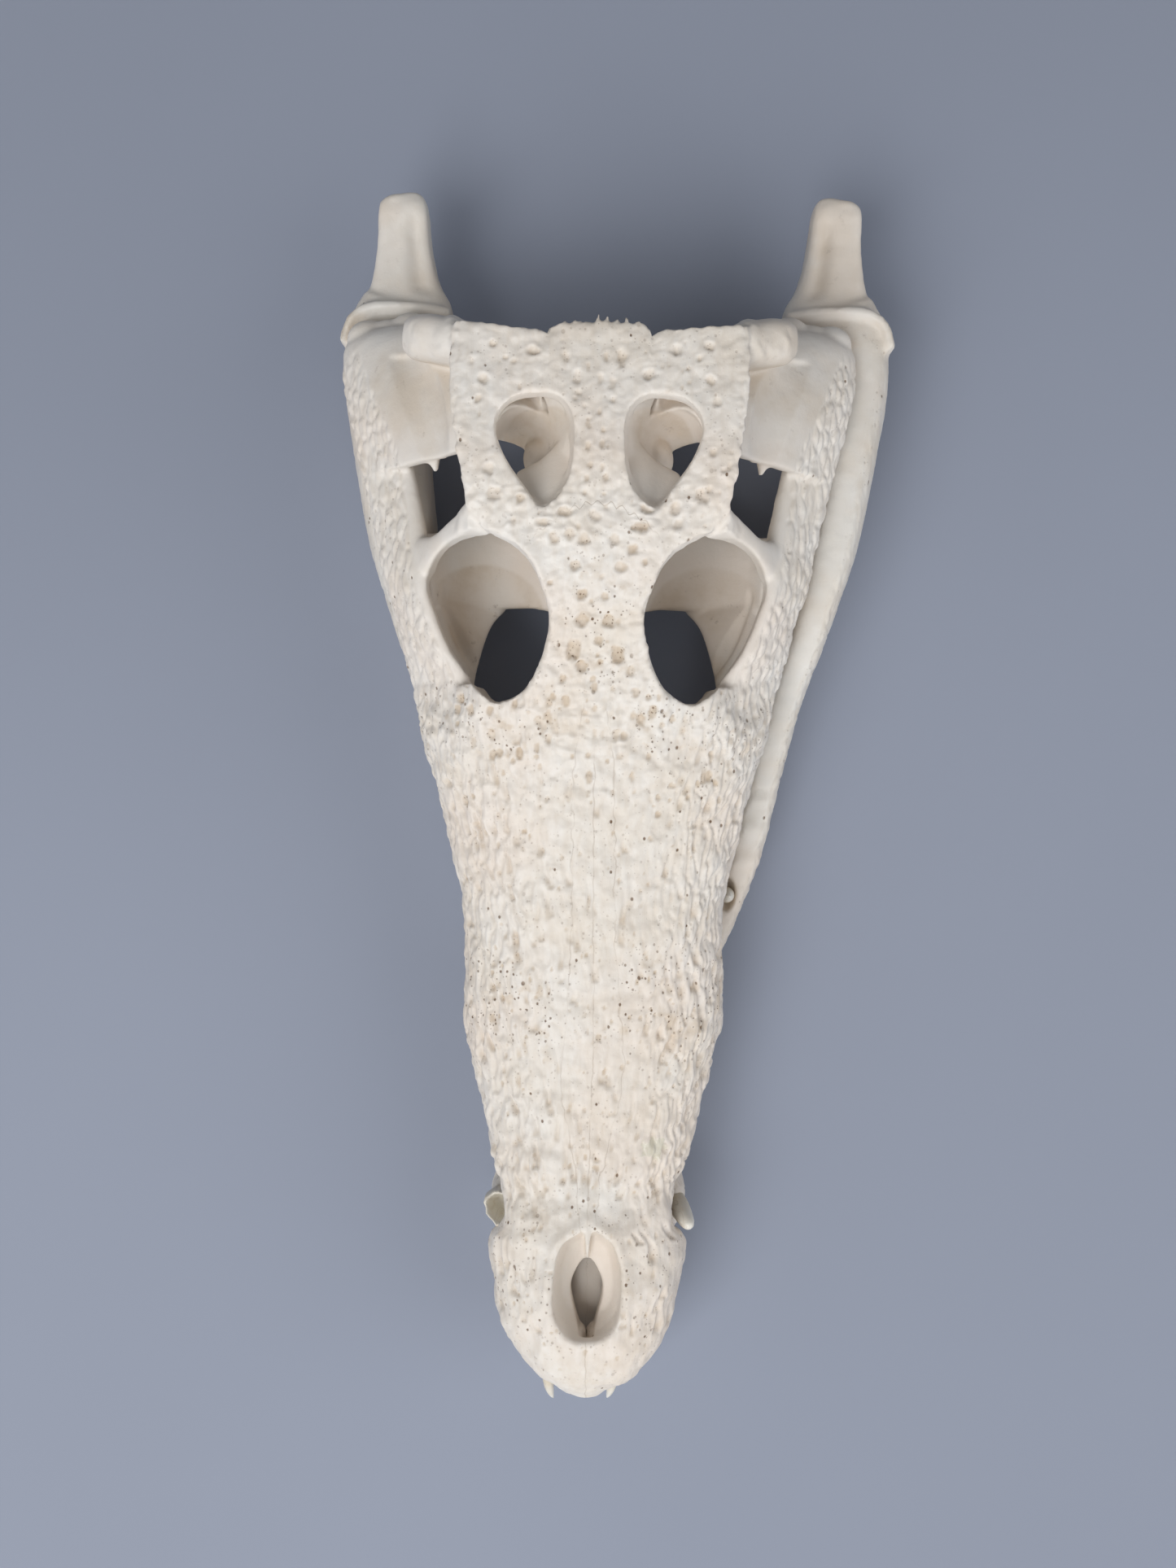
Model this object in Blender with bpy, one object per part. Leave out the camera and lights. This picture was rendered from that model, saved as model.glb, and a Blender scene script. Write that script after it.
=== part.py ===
# Skull of a Nile crocodile lying with its jaws closed, as a still, life-size model.
# Metres, +Z up. While it is shaped, X = 0 is the midline of the cranium, -Y is forward and z = 0 is
# the surface it lies on. +X is the animal's left. At the end it is moved so that the origin is the
# middle of its underside.
import math
import random

import bmesh
import bpy
import numpy as np
from mathutils import Matrix, Vector

GAP = 0.0003                 # left between pieces that meet
CRANIUM_GRAIN = 0.0016       # size of the cells in which the bones of the cranium run together
JAW_GRAIN = 0.0016
CRANIUM_TRIANGLES = 6800
JAW_TRIANGLES = 2450
# How far the lower jaw lies towards the animal's left, at each distance along Y.
JAW_SHIFTS = (
    (-0.25, 0.0), (-0.19, 0.0), (-0.01, 0.0074), (0.04, 0.0066), (0.12, 0.0070), (0.24, 0.0078),
)
# How far the snout bends towards the animal's left.
SNOUT_SHIFTS = ((-0.165, 0.0), (-0.095, 0.0012), (-0.05, 0.0004), (-0.01, 0.0))
BIG = 0.6                    # longer than the skull

# The cranium from above: half-width at each distance along Y, behind the rounded premaxilla.
PREMAXILLA_HALF_WIDTH = 0.0405
PREMAXILLA_WIDEST_Y = -0.1915
SNOUT_TIP_Y = -0.2545
SNOUT_END_Y = 0.038
SNOUT_HALF_WIDTHS = (
    (PREMAXILLA_WIDEST_Y, PREMAXILLA_HALF_WIDTH), (-0.1865, 0.0399), (-0.181, 0.0352),
    (-0.176, 0.0336), (-0.168, 0.0348), (-0.151, 0.0414), (-0.131, 0.0458), (-0.1105, 0.0512),
    (-0.095, 0.0540), (-0.070, 0.0534), (-0.055, 0.0531), (-0.029, 0.0578), (-0.012, 0.0614),
    (0.011, 0.0669), (0.045, 0.0742),
)
# Heights along the midline of the top, and along the edge that holds the upper teeth.
SNOUT_TOPS = (
    (SNOUT_TIP_Y, 0.047), (-0.246, 0.057), (-0.236, 0.0635), (-0.215, 0.0675), (-0.185, 0.068),
    (-0.16, 0.066), (-0.12, 0.070), (-0.09, 0.075), (-0.05, 0.082), (-0.02, 0.088), (0.01, 0.096),
    (0.03, 0.103), (0.045, 0.108),
)
TOOTH_EDGE_HEIGHTS = (
    (SNOUT_TIP_Y, 0.0365), (-0.235, 0.0355), (-0.21, 0.0345), (-0.19, 0.038), (-0.176, 0.046),
    (-0.163, 0.041), (-0.14, 0.035), (-0.10, 0.031), (-0.07, 0.036), (-0.05, 0.040),
    (-0.02, 0.043), (0.01, 0.050), (0.045, 0.060),
)
# Roof between the orbits and the flat skull table behind them.
ROOF_HALF_WIDTHS = (
    (-0.01, 0.026), (0.020, 0.029), (0.0353, 0.0265), (0.0455, 0.0213), (0.0603, 0.01775),
    (0.068, 0.0191), (0.0781, 0.0235), (0.086, 0.031), (0.0915, 0.0406), (0.0996, 0.0475),
    (0.117, 0.0510), (0.145, 0.0542), (0.160, 0.0542), (0.1655, 0.0528),
)
ROOF_TOPS = (
    (-0.01, 0.086), (0.01, 0.0945), (0.03, 0.1035), (0.058, 0.1125), (0.09, 0.1225),
    (0.12, 0.1265), (0.1655, 0.1265),
)
ROOF_THICKNESS = 0.0085
ROOF_RIM = 0.0018            # how far the rims of the orbits stand above the middle of the roof

NARIS_REAR_Y = -0.1787
NARIS_FRONT_Y = -0.2242
NARIS_HALF_WIDTH = 0.0142
INCISIVE_Y = (-0.200, -0.230)
INCISIVE_HALF_WIDTH = 0.006

# Outlines of the openings on the animal's left, seen from above.
ORBIT = (
    (0.0260, 0.0825), (0.0191, 0.0680), (0.01775, 0.0603), (0.0205, 0.0465), (0.0269, 0.0353),
    (0.0370, 0.0306), (0.0445, 0.0352), (0.0496, 0.0418), (0.0569, 0.0525), (0.0627, 0.0664),
    (0.0655, 0.0790), (0.0560, 0.0890), (0.0406, 0.0905),
)
UPPER_TEMPORAL = (
    (0.0223, 0.1409), (0.0140, 0.1393), (0.0093, 0.1310), (0.0100, 0.1140), (0.0141, 0.1049),
    (0.0208, 0.1003), (0.0264, 0.1065), (0.0345, 0.1185), (0.0378, 0.1300), (0.0322, 0.1384),
)

# Teeth: distance along Y, radius at the gum and length.
PREMAXILLARY_TEETH = (
    (-0.2480, 0.0023, 0.018), (-0.2390, 0.0024, 0.015), (-0.2270, 0.0036, 0.019),
    (-0.2115, 0.0040, 0.020), (-0.1975, 0.0025, 0.012),
)
MAXILLARY_TEETH = (
    (-0.1665, 0.0025, 0.010), (-0.1545, 0.0029, 0.012), (-0.1405, 0.0035, 0.016),
    (-0.1235, 0.0041, 0.020), (-0.1025, 0.0050, 0.025), (-0.0840, 0.0034, 0.014),
    (-0.0680, 0.0029, 0.011), (-0.0530, 0.0029, 0.011), (-0.0385, 0.0034, 0.013),
    (-0.0245, 0.0036, 0.013), (-0.0115, 0.0033, 0.011), (0.0000, 0.0029, 0.009),
    (0.0105, 0.0025, 0.007),
)
LOWER_TEETH = (
    (-0.2400, 0.0030, 0.0090), (-0.2310, 0.0022, 0.0070), (-0.2180, 0.0024, 0.0070),
    (-0.1770, 0.0044, 0.0200), (-0.1605, 0.0021, 0.0080), (-0.1475, 0.0022, 0.0080),
    (-0.1320, 0.0024, 0.0080), (-0.1135, 0.0027, 0.0080), (-0.0930, 0.0027, 0.0080),
    (-0.0762, 0.0028, 0.0090), (-0.0605, 0.0028, 0.0090), (-0.0462, 0.0027, 0.0090),
    (-0.0315, 0.0026, 0.0080), (-0.0180, 0.0024, 0.0070), (-0.0058, 0.0022, 0.0060),
)
FRONT_TEETH_X = (-0.0163, 0.0106)         # the first two teeth, which point forward
TOOTH_SIDES = 6
LOWER_CANINE = 3             # place in the row of the tooth that fits the notch of the snout

# Lower jaw: distance along Y, outer half-width, thickness, height of its foot and of its top.
JAW_STATIONS = (
    (-0.2430, 0.0140, 0.0120, 0.016, 0.033), (-0.2300, 0.0245, 0.0160, 0.004, 0.0345),
    (-0.2120, 0.0300, 0.0175, 0.000, 0.0335), (-0.1940, 0.0335, 0.0175, -0.001, 0.035),
    (-0.1760, 0.0420, 0.0190, -0.001, 0.037), (-0.1560, 0.0335, 0.0140, 0.000, 0.031),
    (-0.1200, 0.0385, 0.0140, 0.001, 0.028), (-0.0900, 0.0440, 0.0145, 0.002, 0.028),
    (-0.0600, 0.0550, 0.0155, 0.003, 0.032), (-0.0300, 0.0650, 0.0160, 0.003, 0.036),
    (0.0000, 0.0718, 0.0165, 0.002, 0.040), (0.0350, 0.0805, 0.0175, 0.000, 0.049),
    (0.0700, 0.0922, 0.0180, -0.001, 0.056), (0.1030, 0.1025, 0.0185, -0.001, 0.0575),
    (0.1370, 0.1090, 0.0210, 0.001, 0.056), (0.1650, 0.1135, 0.0280, 0.006, 0.0550),
    (0.1850, 0.1130, 0.0400, 0.013, 0.0570), (0.1965, 0.1085, 0.0395, 0.021, 0.0550),
    (0.2160, 0.1010, 0.0278, 0.031, 0.0530), (0.2320, 0.0993, 0.0230, 0.037, 0.0550),
    (0.2430, 0.0972, 0.0175, 0.043, 0.0545),
)

# Flat cuts between the parts of the cranium.
CUT_SNOUT_Y = 0.0240         # behind the bones in front of the orbits
CUT_JUGAL_Y = 0.1255         # between the jugal and the quadratojugal
CUT_PALATE_Z = 0.0630        # above the palate
CUT_FRONTAL_Z = 0.1080       # below the bone between the orbits
CUT_TABLE_Z = 0.1170         # below the skull table

IVORY = (0.72, 0.69, 0.62)
CREAM = (0.66, 0.62, 0.53)
TAN = (0.58, 0.48, 0.38)
# Colour (linear) and roughness of each node's bone, by the first word of its name.
NODE_COLOURS = {
    "snout": (IVORY, 0.60), "skull": (IVORY, 0.62), "cheek": (IVORY, 0.62),
    "quadrate": (IVORY, 0.62), "braincase": (CREAM, 0.66), "palate": (TAN, 0.68),
    "mandible": (CREAM, 0.60),
}


def clear_scene():
    for obj in list(bpy.data.objects):
        bpy.data.objects.remove(obj, do_unlink=True)


def smooth_curve(points):
    """A smooth function through (position, value or values) points that never overshoots."""
    at = np.array([p[0] for p in points], float)
    to = np.array([np.atleast_1d(p[1]) for p in points], float)
    slope = np.diff(to, axis=0) / np.diff(at)[:, None]
    before, after = slope[:-1], slope[1:]
    total = np.where(before + after == 0, 1, before + after)
    inner = np.where(before * after > 0, 2 * before * after / total, 0)
    tangent = np.vstack([slope[:1], inner, slope[-1:]])

    def value(position):
        i = int(np.clip(np.searchsorted(at, position) - 1, 0, len(at) - 2))
        width = at[i + 1] - at[i]
        t = float(np.clip((position - at[i]) / width, 0, 1))
        rise = t * t * (3 - 2 * t)
        leave = t * (1 - t) ** 2 * width
        arrive = t * t * (t - 1) * width
        found = (1 - rise) * to[i] + rise * to[i + 1] + leave * tangent[i] + arrive * tangent[i + 1]
        return float(found[0]) if len(found) == 1 else found

    return value


def closed_curve(points, count):
    """Points spread along a smooth closed curve through the given (x, y) points."""
    points = np.array(points, float)
    found = []
    for k in range(count):
        place = k * len(points) / count
        i, t = int(place), place % 1
        p0, p1, p2, p3 = (points[(i + j) % len(points)] for j in (-1, 0, 1, 2))
        found.append(
            0.5 * (2 * p1 + (p2 - p0) * t + (2 * p0 - 5 * p1 + 4 * p2 - p3) * t * t
                   + (3 * p1 - p0 - 3 * p2 + p3) * t ** 3)
        )
    return found


def power(value, exponent):
    """A sine or cosine raised to a power with its sign kept, for rounded squares."""
    return math.copysign(abs(value) ** exponent, value)


def add_object(name, bm):
    mesh = bpy.data.meshes.new(name)
    bm.to_mesh(mesh)
    bm.free()
    obj = bpy.data.objects.new(name, mesh)
    bpy.context.scene.collection.objects.link(obj)
    return obj


def loft(name, rings):
    """A closed skin grown from ring to ring, each with the same number of points."""
    bm = bmesh.new()
    ring = [bm.verts.new(p) for p in rings[0]]
    bm.faces.new(ring)
    for points in rings[1:]:
        edges = [bm.edges.get(pair) for pair in zip(ring, ring[1:] + ring[:1])]
        grown = bmesh.ops.extrude_edge_only(bm, edges=edges)["geom"]
        fresh = {part for part in grown if isinstance(part, bmesh.types.BMVert)}
        ring = [
            next(e.other_vert(v) for e in v.link_edges if e.other_vert(v) in fresh) for v in ring
        ]
        for vert, point in zip(ring, points):
            vert.co = point
    bm.faces.new(ring)
    bmesh.ops.triangulate(bm, faces=[f for f in bm.faces if len(f.verts) > 4])
    bmesh.ops.recalc_face_normals(bm, faces=bm.faces)
    return add_object(name, bm)


def strip(name, stations, side=1, rings=18, sides=16, squareness=2.8):
    """A bone shaped as a bar or plate through stations of (edge, other edge, thickness)."""
    path = smooth_curve([(i, (*a, *b, t)) for i, (a, b, t) in enumerate(stations)])
    last = len(stations) - 1
    found = []
    for k in range(rings):
        place = last * k / (rings - 1)
        now = path(place)
        ahead = path(min(place + 0.05, last))
        behind = path(max(place - 0.05, 0))
        middle = Vector((now[:3] + now[3:6]) / 2)
        along = Vector(ahead[:3] + ahead[3:6] - behind[:3] - behind[3:6])
        across = Vector(now[3:6] - now[:3]) / 2
        through = across.cross(along).normalized() * now[6] / 2
        ring = []
        for j in range(sides):
            angle = math.tau * j / sides
            point = (
                middle
                + across * power(math.cos(angle), 2 / squareness)
                + through * power(math.sin(angle), 2 / squareness)
            )
            ring.append((point.x * side, point.y, point.z))
        found.append(ring)
    return loft(name, found)


def ball(name, centre, radii, side=1):
    bm = bmesh.new()
    bmesh.ops.create_icosphere(bm, subdivisions=4, radius=1)
    bmesh.ops.scale(bm, verts=bm.verts, vec=radii)
    bmesh.ops.translate(bm, verts=bm.verts, vec=(centre[0] * side, centre[1], centre[2]))
    return add_object(name, bm)


def box(name, low, high):
    bm = bmesh.new()
    bmesh.ops.create_cube(bm, size=1)
    bmesh.ops.scale(bm, verts=bm.verts, vec=[h - l for l, h in zip(low, high)])
    bmesh.ops.translate(bm, verts=bm.verts, vec=[(h + l) / 2 for l, h in zip(low, high)])
    return add_object(name, bm)


def outline_cutter(name, outline, levels, side=1, count=36):
    """A cutter over a closed outline: at each level (height, scale, shift in x, shift in y)."""
    curve = closed_curve(outline, count)
    middle = sum(curve) / count
    rings = []
    for height, scale, shift_x, shift_y in levels:
        ring = []
        for point in curve:
            x, y = middle + (point - middle) * scale
            ring.append(((x + shift_x) * side, y + shift_y, height))
        rings.append(ring)
    return loft(name, rings)


def apply_modifiers(obj):
    graph = bpy.context.evaluated_depsgraph_get()
    mesh = bpy.data.meshes.new_from_object(obj.evaluated_get(graph))
    obj.modifiers.clear()
    obj.data = mesh


def remove(objects):
    for obj in objects:
        bpy.data.objects.remove(obj, do_unlink=True)


def run_together(obj, others, grain):
    """All these closed forms as one skin."""
    bm = bmesh.new()
    for part in [obj, *others]:
        bm.from_mesh(part.data)
    bm.to_mesh(obj.data)
    bm.free()
    remove(others)
    remesh = obj.modifiers.new("Remesh", "REMESH")
    remesh.mode = "VOXEL"
    remesh.voxel_size = grain
    apply_modifiers(obj)


def boolean(obj, operation, tools, keep=False):
    group = bpy.data.collections.new("tools")
    bpy.context.scene.collection.children.link(group)
    for tool in tools:
        group.objects.link(tool)
    cut = obj.modifiers.new("Boolean", "BOOLEAN")
    cut.operation = operation
    cut.operand_type = "COLLECTION"
    cut.collection = group
    cut.solver = "MANIFOLD"
    apply_modifiers(obj)
    bpy.data.collections.remove(group)
    if not keep:
        remove(tools)


def soften(obj, grain, rounds):
    """Rounds the edges that the cutters left."""
    remesh = obj.modifiers.new("Remesh", "REMESH")
    remesh.mode = "VOXEL"
    remesh.voxel_size = grain
    smooth = obj.modifiers.new("Smooth", "SMOOTH")
    smooth.factor = 0.5
    smooth.iterations = rounds
    apply_modifiers(obj)


def thin_out(obj, triangles):
    obj.data.calc_loop_triangles()
    decimate = obj.modifiers.new("Decimate", "DECIMATE")
    decimate.ratio = triangles / len(obj.data.loop_triangles)
    apply_modifiers(obj)


def keep_largest(obj):
    """Keeps the largest closed surface and drops scraps and sealed hollows."""
    bm = bmesh.new()
    bm.from_mesh(obj.data)
    waiting = set(bm.faces)
    shells = []
    while waiting:
        shell, rim = [], [waiting.pop()]
        while rim:
            face = rim.pop()
            shell.append(face)
            near = {f for edge in face.edges for f in edge.link_faces} & waiting
            waiting -= near
            rim.extend(near)
        shells.append(shell)
    shells.sort(key=len, reverse=True)
    dropped = [face for shell in shells[1:] for face in shell]
    bmesh.ops.delete(bm, geom=dropped, context="FACES")
    bm.to_mesh(obj.data)
    bm.free()


def copy_of(obj, name, grow=0.0):
    """A copy whose surface stands further out by the given distance."""
    twin = bpy.data.objects.new(name, obj.data.copy())
    bpy.context.scene.collection.objects.link(twin)
    if grow:
        swell = twin.modifiers.new("Displace", "DISPLACE")
        swell.strength = grow
        swell.mid_level = 0
        apply_modifiers(twin)
    return twin


snout_side = smooth_curve(SNOUT_HALF_WIDTHS)
snout_top = smooth_curve(SNOUT_TOPS)
tooth_edge = smooth_curve(TOOTH_EDGE_HEIGHTS)
roof_side = smooth_curve(ROOF_HALF_WIDTHS)
roof_top = smooth_curve(ROOF_TOPS)
jaw_shift = smooth_curve(JAW_SHIFTS)
snout_shift = smooth_curve(SNOUT_SHIFTS)
jaw_outer = smooth_curve([(y, outer) for y, outer, _, _, _ in JAW_STATIONS])
jaw_top = smooth_curve([(y, top) for y, _, _, _, top in JAW_STATIONS])


def shift(objects, distance):
    """Moves each point sideways by a distance that depends on its place along Y."""
    for obj in objects:
        for vert in obj.data.vertices:
            vert.co.x += distance(vert.co.y)


def snout_half_width(y):
    if y >= PREMAXILLA_WIDEST_Y:
        return snout_side(y)
    share = (PREMAXILLA_WIDEST_Y - y) / (PREMAXILLA_WIDEST_Y - SNOUT_TIP_Y)
    return PREMAXILLA_HALF_WIDTH * math.sqrt(max(1 - share * share, 0))


def make_snout():
    """Premaxillae, maxillae, nasals and the bones in front of the orbits, solid."""
    arc_points = 22
    roundness = 2.5
    tip_rings = 14
    rings = []
    places = [
        SNOUT_TIP_Y + 0.0006 + (PREMAXILLA_WIDEST_Y - SNOUT_TIP_Y)
        * (1 - math.cos(math.pi / 2 * k / tip_rings))
        for k in range(tip_rings)
    ]
    places += list(np.arange(PREMAXILLA_WIDEST_Y, SNOUT_END_Y, 0.0045)) + [SNOUT_END_Y]
    for y in places:
        half, top, edge = snout_half_width(y), snout_top(y), tooth_edge(y)
        fine = min(1, half / 0.03)
        widest = edge + 0.007 * fine
        ring = []
        for k in range(arc_points + 1):
            angle = math.pi * k / arc_points
            x = half * power(math.cos(angle), 2 / roundness)
            z = widest + (top - widest) * power(math.sin(angle), 2 / roundness)
            ring.append((x, y, z))
        under = (
            (0.0008, 0.0030), (0.0030, 0.0), (0.0085, 0.0), (0.0120, 0.0045), (0.0190, 0.0065),
        )
        left = [(half - inset * fine, edge + lift * fine) for inset, lift in under]
        ring += [(-x, y, z) for x, z in left]
        ring.append((0, y, edge + 0.0075 * fine))
        ring += [(x, y, z) for x, z in reversed(left)]
        rings.append(ring)
    form = loft("snout_form", rings)
    shift([form], snout_shift)
    return form


def make_roof():
    """Frontal and parietal bones between the orbits and the flat skull table."""
    across = 14
    places = list(np.arange(-0.01, 0.160, 0.004)) + [0.160, 0.1640, 0.1655]
    rings = []
    for y in places:
        half, top = roof_side(y), roof_top(y)
        thick = ROOF_THICKNESS
        upper, lower = [], []
        for k in range(across + 1):
            u = 2 * k / across - 1
            dish = ROOF_RIM * (u ** 4 - 0.35)
            upper.append((half * u, y, top + dish - 0.0022 * abs(u) ** 14))
            lower.append((half * u * 0.97, y, top - thick + 0.003 * abs(u) ** 6))
        rings.append(upper + lower[::-1])
    return loft("roof_form", rings)


def make_braincase():
    # distance along Y, half-width, bottom and top
    stations = (
        (0.072, 0.007, 0.099, 0.113), (0.090, 0.014, 0.078, 0.118), (0.110, 0.0165, 0.057, 0.120),
        (0.130, 0.021, 0.050, 0.121), (0.148, 0.029, 0.048, 0.120), (0.158, 0.034, 0.052, 0.118),
        (0.166, 0.028, 0.062, 0.110),
    )
    form = strip(
        "braincase_form",
        [((-w, y, (low + high) / 2), (w, y, (low + high) / 2), high - low)
         for y, w, low, high in stations],
        rings=24, sides=20, squareness=2.4,
    )
    condyle = ball("condyle", (0, 0.1685, 0.077), (0.0095, 0.0095, 0.0080))
    tubera = ball("tubera", (0, 0.158, 0.053), (0.017, 0.008, 0.011))
    return [form, condyle, tubera]


def make_cheek(side):
    """Jugal, postorbital bar and the bar below the lower temporal opening."""
    jugal = strip(
        "jugal",
        (
            ((0.042, -0.012, 0.074), (0.0585, -0.010, 0.053), 0.011),
            ((0.049, 0.020, 0.082), (0.0676, 0.020, 0.058), 0.012),
            ((0.0500, 0.0418, 0.087), (0.0733, 0.0418, 0.061), 0.0100),
            ((0.0567, 0.0525, 0.088), (0.0757, 0.0525, 0.063), 0.0095),
            ((0.0627, 0.0664, 0.0885), (0.0787, 0.0664, 0.0645), 0.0090),
            ((0.0657, 0.0790, 0.0880), (0.0835, 0.0790, 0.0650), 0.0090),
            ((0.0668, 0.0953, 0.0850), (0.0873, 0.0953, 0.0650), 0.0085),
            ((0.0695, 0.1098, 0.0820), (0.0909, 0.1098, 0.0650), 0.0080),
            ((0.0727, 0.1240, 0.0800), (0.0945, 0.1240, 0.0645), 0.0080),
            ((0.0780, 0.1450, 0.0800), (0.0993, 0.1450, 0.0640), 0.0090),
        ),
        side, rings=46,
    )
    postorbital = strip(
        "postorbital",
        (
            ((0.0665, 0.0770, 0.0820), (0.0690, 0.0960, 0.0820), 0.0090),
            ((0.0610, 0.0835, 0.0950), (0.0615, 0.0940, 0.0960), 0.0075),
            ((0.0525, 0.0880, 0.1070), (0.0535, 0.0975, 0.1080), 0.0080),
            ((0.0420, 0.0890, 0.1190), (0.0450, 0.1035, 0.1190), 0.0100),
        ),
        side,
    )
    return [jugal, postorbital]


def make_quadrate(side):
    """Quadratojugal and quadrate as one sloping plate that ends in the jaw joint."""
    plate = strip(
        "quadrate_plate",
        (
            ((0.0440, 0.1290, 0.1130), (0.0940, 0.1260, 0.0660), 0.0055),
            ((0.0440, 0.1420, 0.1110), (0.0990, 0.1420, 0.0650), 0.0090),
            ((0.0480, 0.1580, 0.0990), (0.1030, 0.1600, 0.0620), 0.0130),
            ((0.0560, 0.1720, 0.0830), (0.1035, 0.1720, 0.0600), 0.0160),
            ((0.0650, 0.1790, 0.0670), (0.1020, 0.1770, 0.0590), 0.0140),
            ((0.0700, 0.1850, 0.0630), (0.0980, 0.1830, 0.0595), 0.0080),
        ),
        side, rings=30, sides=20, squareness=2.3,
    )
    body = strip(
        "quadrate_body",
        (
            ((0.0140, 0.1160, 0.1120), (0.0140, 0.1500, 0.0620), 0.0200),
            ((0.0340, 0.1300, 0.1130), (0.0380, 0.1580, 0.0680), 0.0200),
            ((0.0500, 0.1400, 0.1050), (0.0560, 0.1680, 0.0680), 0.0160),
            ((0.0660, 0.1520, 0.0930), (0.0720, 0.1770, 0.0620), 0.0140),
        ),
        side,
    )
    condyles = [
        ball("condyle", (0.0935, 0.1795, 0.0600), (0.0090, 0.0078, 0.0072), side),
        ball("condyle", (0.0765, 0.1825, 0.0605), (0.0088, 0.0078, 0.0082), side),
    ]
    spine = strip(
        "quadratojugal_spine",
        (
            ((0.0620, 0.1360, 0.0960), (0.0720, 0.1340, 0.0890), 0.0070),
            ((0.0605, 0.1280, 0.0935), (0.0670, 0.1270, 0.0890), 0.0050),
            ((0.0603, 0.1205, 0.0920), (0.0632, 0.1202, 0.0900), 0.0036),
        ),
        side,
    )
    paroccipital = strip(
        "paroccipital",
        (
            ((0.0200, 0.1530, 0.1220), (0.0200, 0.1570, 0.0780), 0.0180),
            ((0.0400, 0.1560, 0.1220), (0.0430, 0.1640, 0.0860), 0.0150),
            ((0.0540, 0.1610, 0.1215), (0.0590, 0.1690, 0.0900), 0.0150),
            ((0.0660, 0.1655, 0.1130), (0.0680, 0.1700, 0.0940), 0.0140),
            ((0.0730, 0.1670, 0.1060), (0.0730, 0.1690, 0.0980), 0.0070),
        ),
        side,
    )
    return [plate, body, spine, paroccipital, *condyles]


def make_palate():
    """Palatines, pterygoids with their wings and the ectopterygoid struts."""
    forms = [
        strip(
            "palatines",
            [((-w, y, z), (w, y, z), t) for y, w, z, t in (
                (-0.035, 0.0140, 0.053, 0.018), (0.000, 0.0130, 0.054, 0.016),
                (0.030, 0.0115, 0.054, 0.015), (0.060, 0.0115, 0.053, 0.015),
                (0.080, 0.0150, 0.052, 0.017), (0.105, 0.0190, 0.052, 0.022),
                (0.130, 0.0180, 0.052, 0.024),
            )],
            rings=30,
        )
    ]
    for side in (1, -1):
        forms.append(strip(
            "pterygoid_wing",
            (
                ((0.0060, 0.0670, 0.0500), (0.0060, 0.1300, 0.0500), 0.0100),
                ((0.0240, 0.0720, 0.0490), (0.0260, 0.1310, 0.0460), 0.0062),
                ((0.0420, 0.0740, 0.0420), (0.0440, 0.1240, 0.0360), 0.0050),
                ((0.0550, 0.0800, 0.0320), (0.0560, 0.1120, 0.0260), 0.0060),
                ((0.0625, 0.0870, 0.0250), (0.0620, 0.1030, 0.0210), 0.0065),
            ),
            side, rings=26,
        ))
        forms.append(strip(
            "ectopterygoid",
            (
                ((0.0370, 0.0730, 0.0430), (0.0580, 0.0970, 0.0300), 0.0060),
                ((0.0430, 0.0650, 0.0480), (0.0650, 0.0870, 0.0440), 0.0070),
                ((0.0475, 0.0500, 0.0560), (0.0685, 0.0770, 0.0590), 0.0080),
                ((0.0500, 0.0360, 0.0620), (0.0690, 0.0620, 0.0660), 0.0095),
            ),
            side,
        ))
        forms.append(strip(
            "prefrontal_pillar",
            (
                ((0.0120, 0.0280, 0.1010), (0.0210, 0.0420, 0.1010), 0.0080),
                ((0.0090, 0.0300, 0.0800), (0.0135, 0.0420, 0.0800), 0.0055),
                ((0.0070, 0.0300, 0.0560), (0.0115, 0.0440, 0.0560), 0.0070),
            ),
            side,
        ))
    return forms


def opening_cutters():
    cutters = []
    for side in (1, -1):
        cutters.append(outline_cutter(
            "orbit", ORBIT,
            ((0.0600, 0.90, 0, 0.001), (0.0780, 0.97, 0, 0), (0.0900, 1.0, 0, 0),
             (0.1150, 1.0, 0, 0), (0.1350, 1.12, 0, 0)), side,
        ))
        cutters.append(outline_cutter(
            "upper_temporal", UPPER_TEMPORAL,
            ((0.0580, 0.36, 0.0110, 0.0020), (0.0800, 0.42, 0.0100, 0.0020),
             (0.1000, 0.66, 0.0065, 0.0015), (0.1120, 0.84, 0.0030, 0.0005),
             (0.1205, 0.96, 0, 0), (0.1265, 1.0, 0, 0), (0.1350, 1.10, 0, 0)), side,
        ))
        cutters.append(ball("suborbital", (0.0315, 0.022, 0.047), (0.0170, 0.0480, 0.0330), side))
    naris = (
        (0, NARIS_REAR_Y), (0.0075, -0.1835), (0.0115, -0.1890), (NARIS_HALF_WIDTH, -0.2040),
        (0.0134, -0.2150), (0.0095, -0.2220), (0, NARIS_FRONT_Y),
    )
    naris += tuple((-x, y) for x, y in naris[-2:0:-1])
    cutters.append(outline_cutter(
        "naris", naris,
        ((0.0470, 0.45, 0, -0.003), (0.0500, 0.75, 0, -0.001), (0.0580, 0.93, 0, 0),
         (0.0660, 1.0, 0, 0), (0.0780, 1.12, 0, 0)),
    ))
    rear, front = INCISIVE_Y
    middle = (rear + front) / 2
    leaf = (
        (0, rear), (INCISIVE_HALF_WIDTH, middle), (0, front), (-INCISIVE_HALF_WIDTH, middle),
    )
    cutters.append(outline_cutter("incisive", leaf, ((0.020, 1, 0, 0), (0.056, 1, 0, 0))))
    cutters.append(ball("foramen_magnum", (0, 0.169, 0.0925), (0.0068, 0.012, 0.0058)))
    cutters.append(ball("choana", (0, 0.116, 0.038), (0.0085, 0.0070, 0.0090)))
    return cutters


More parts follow.
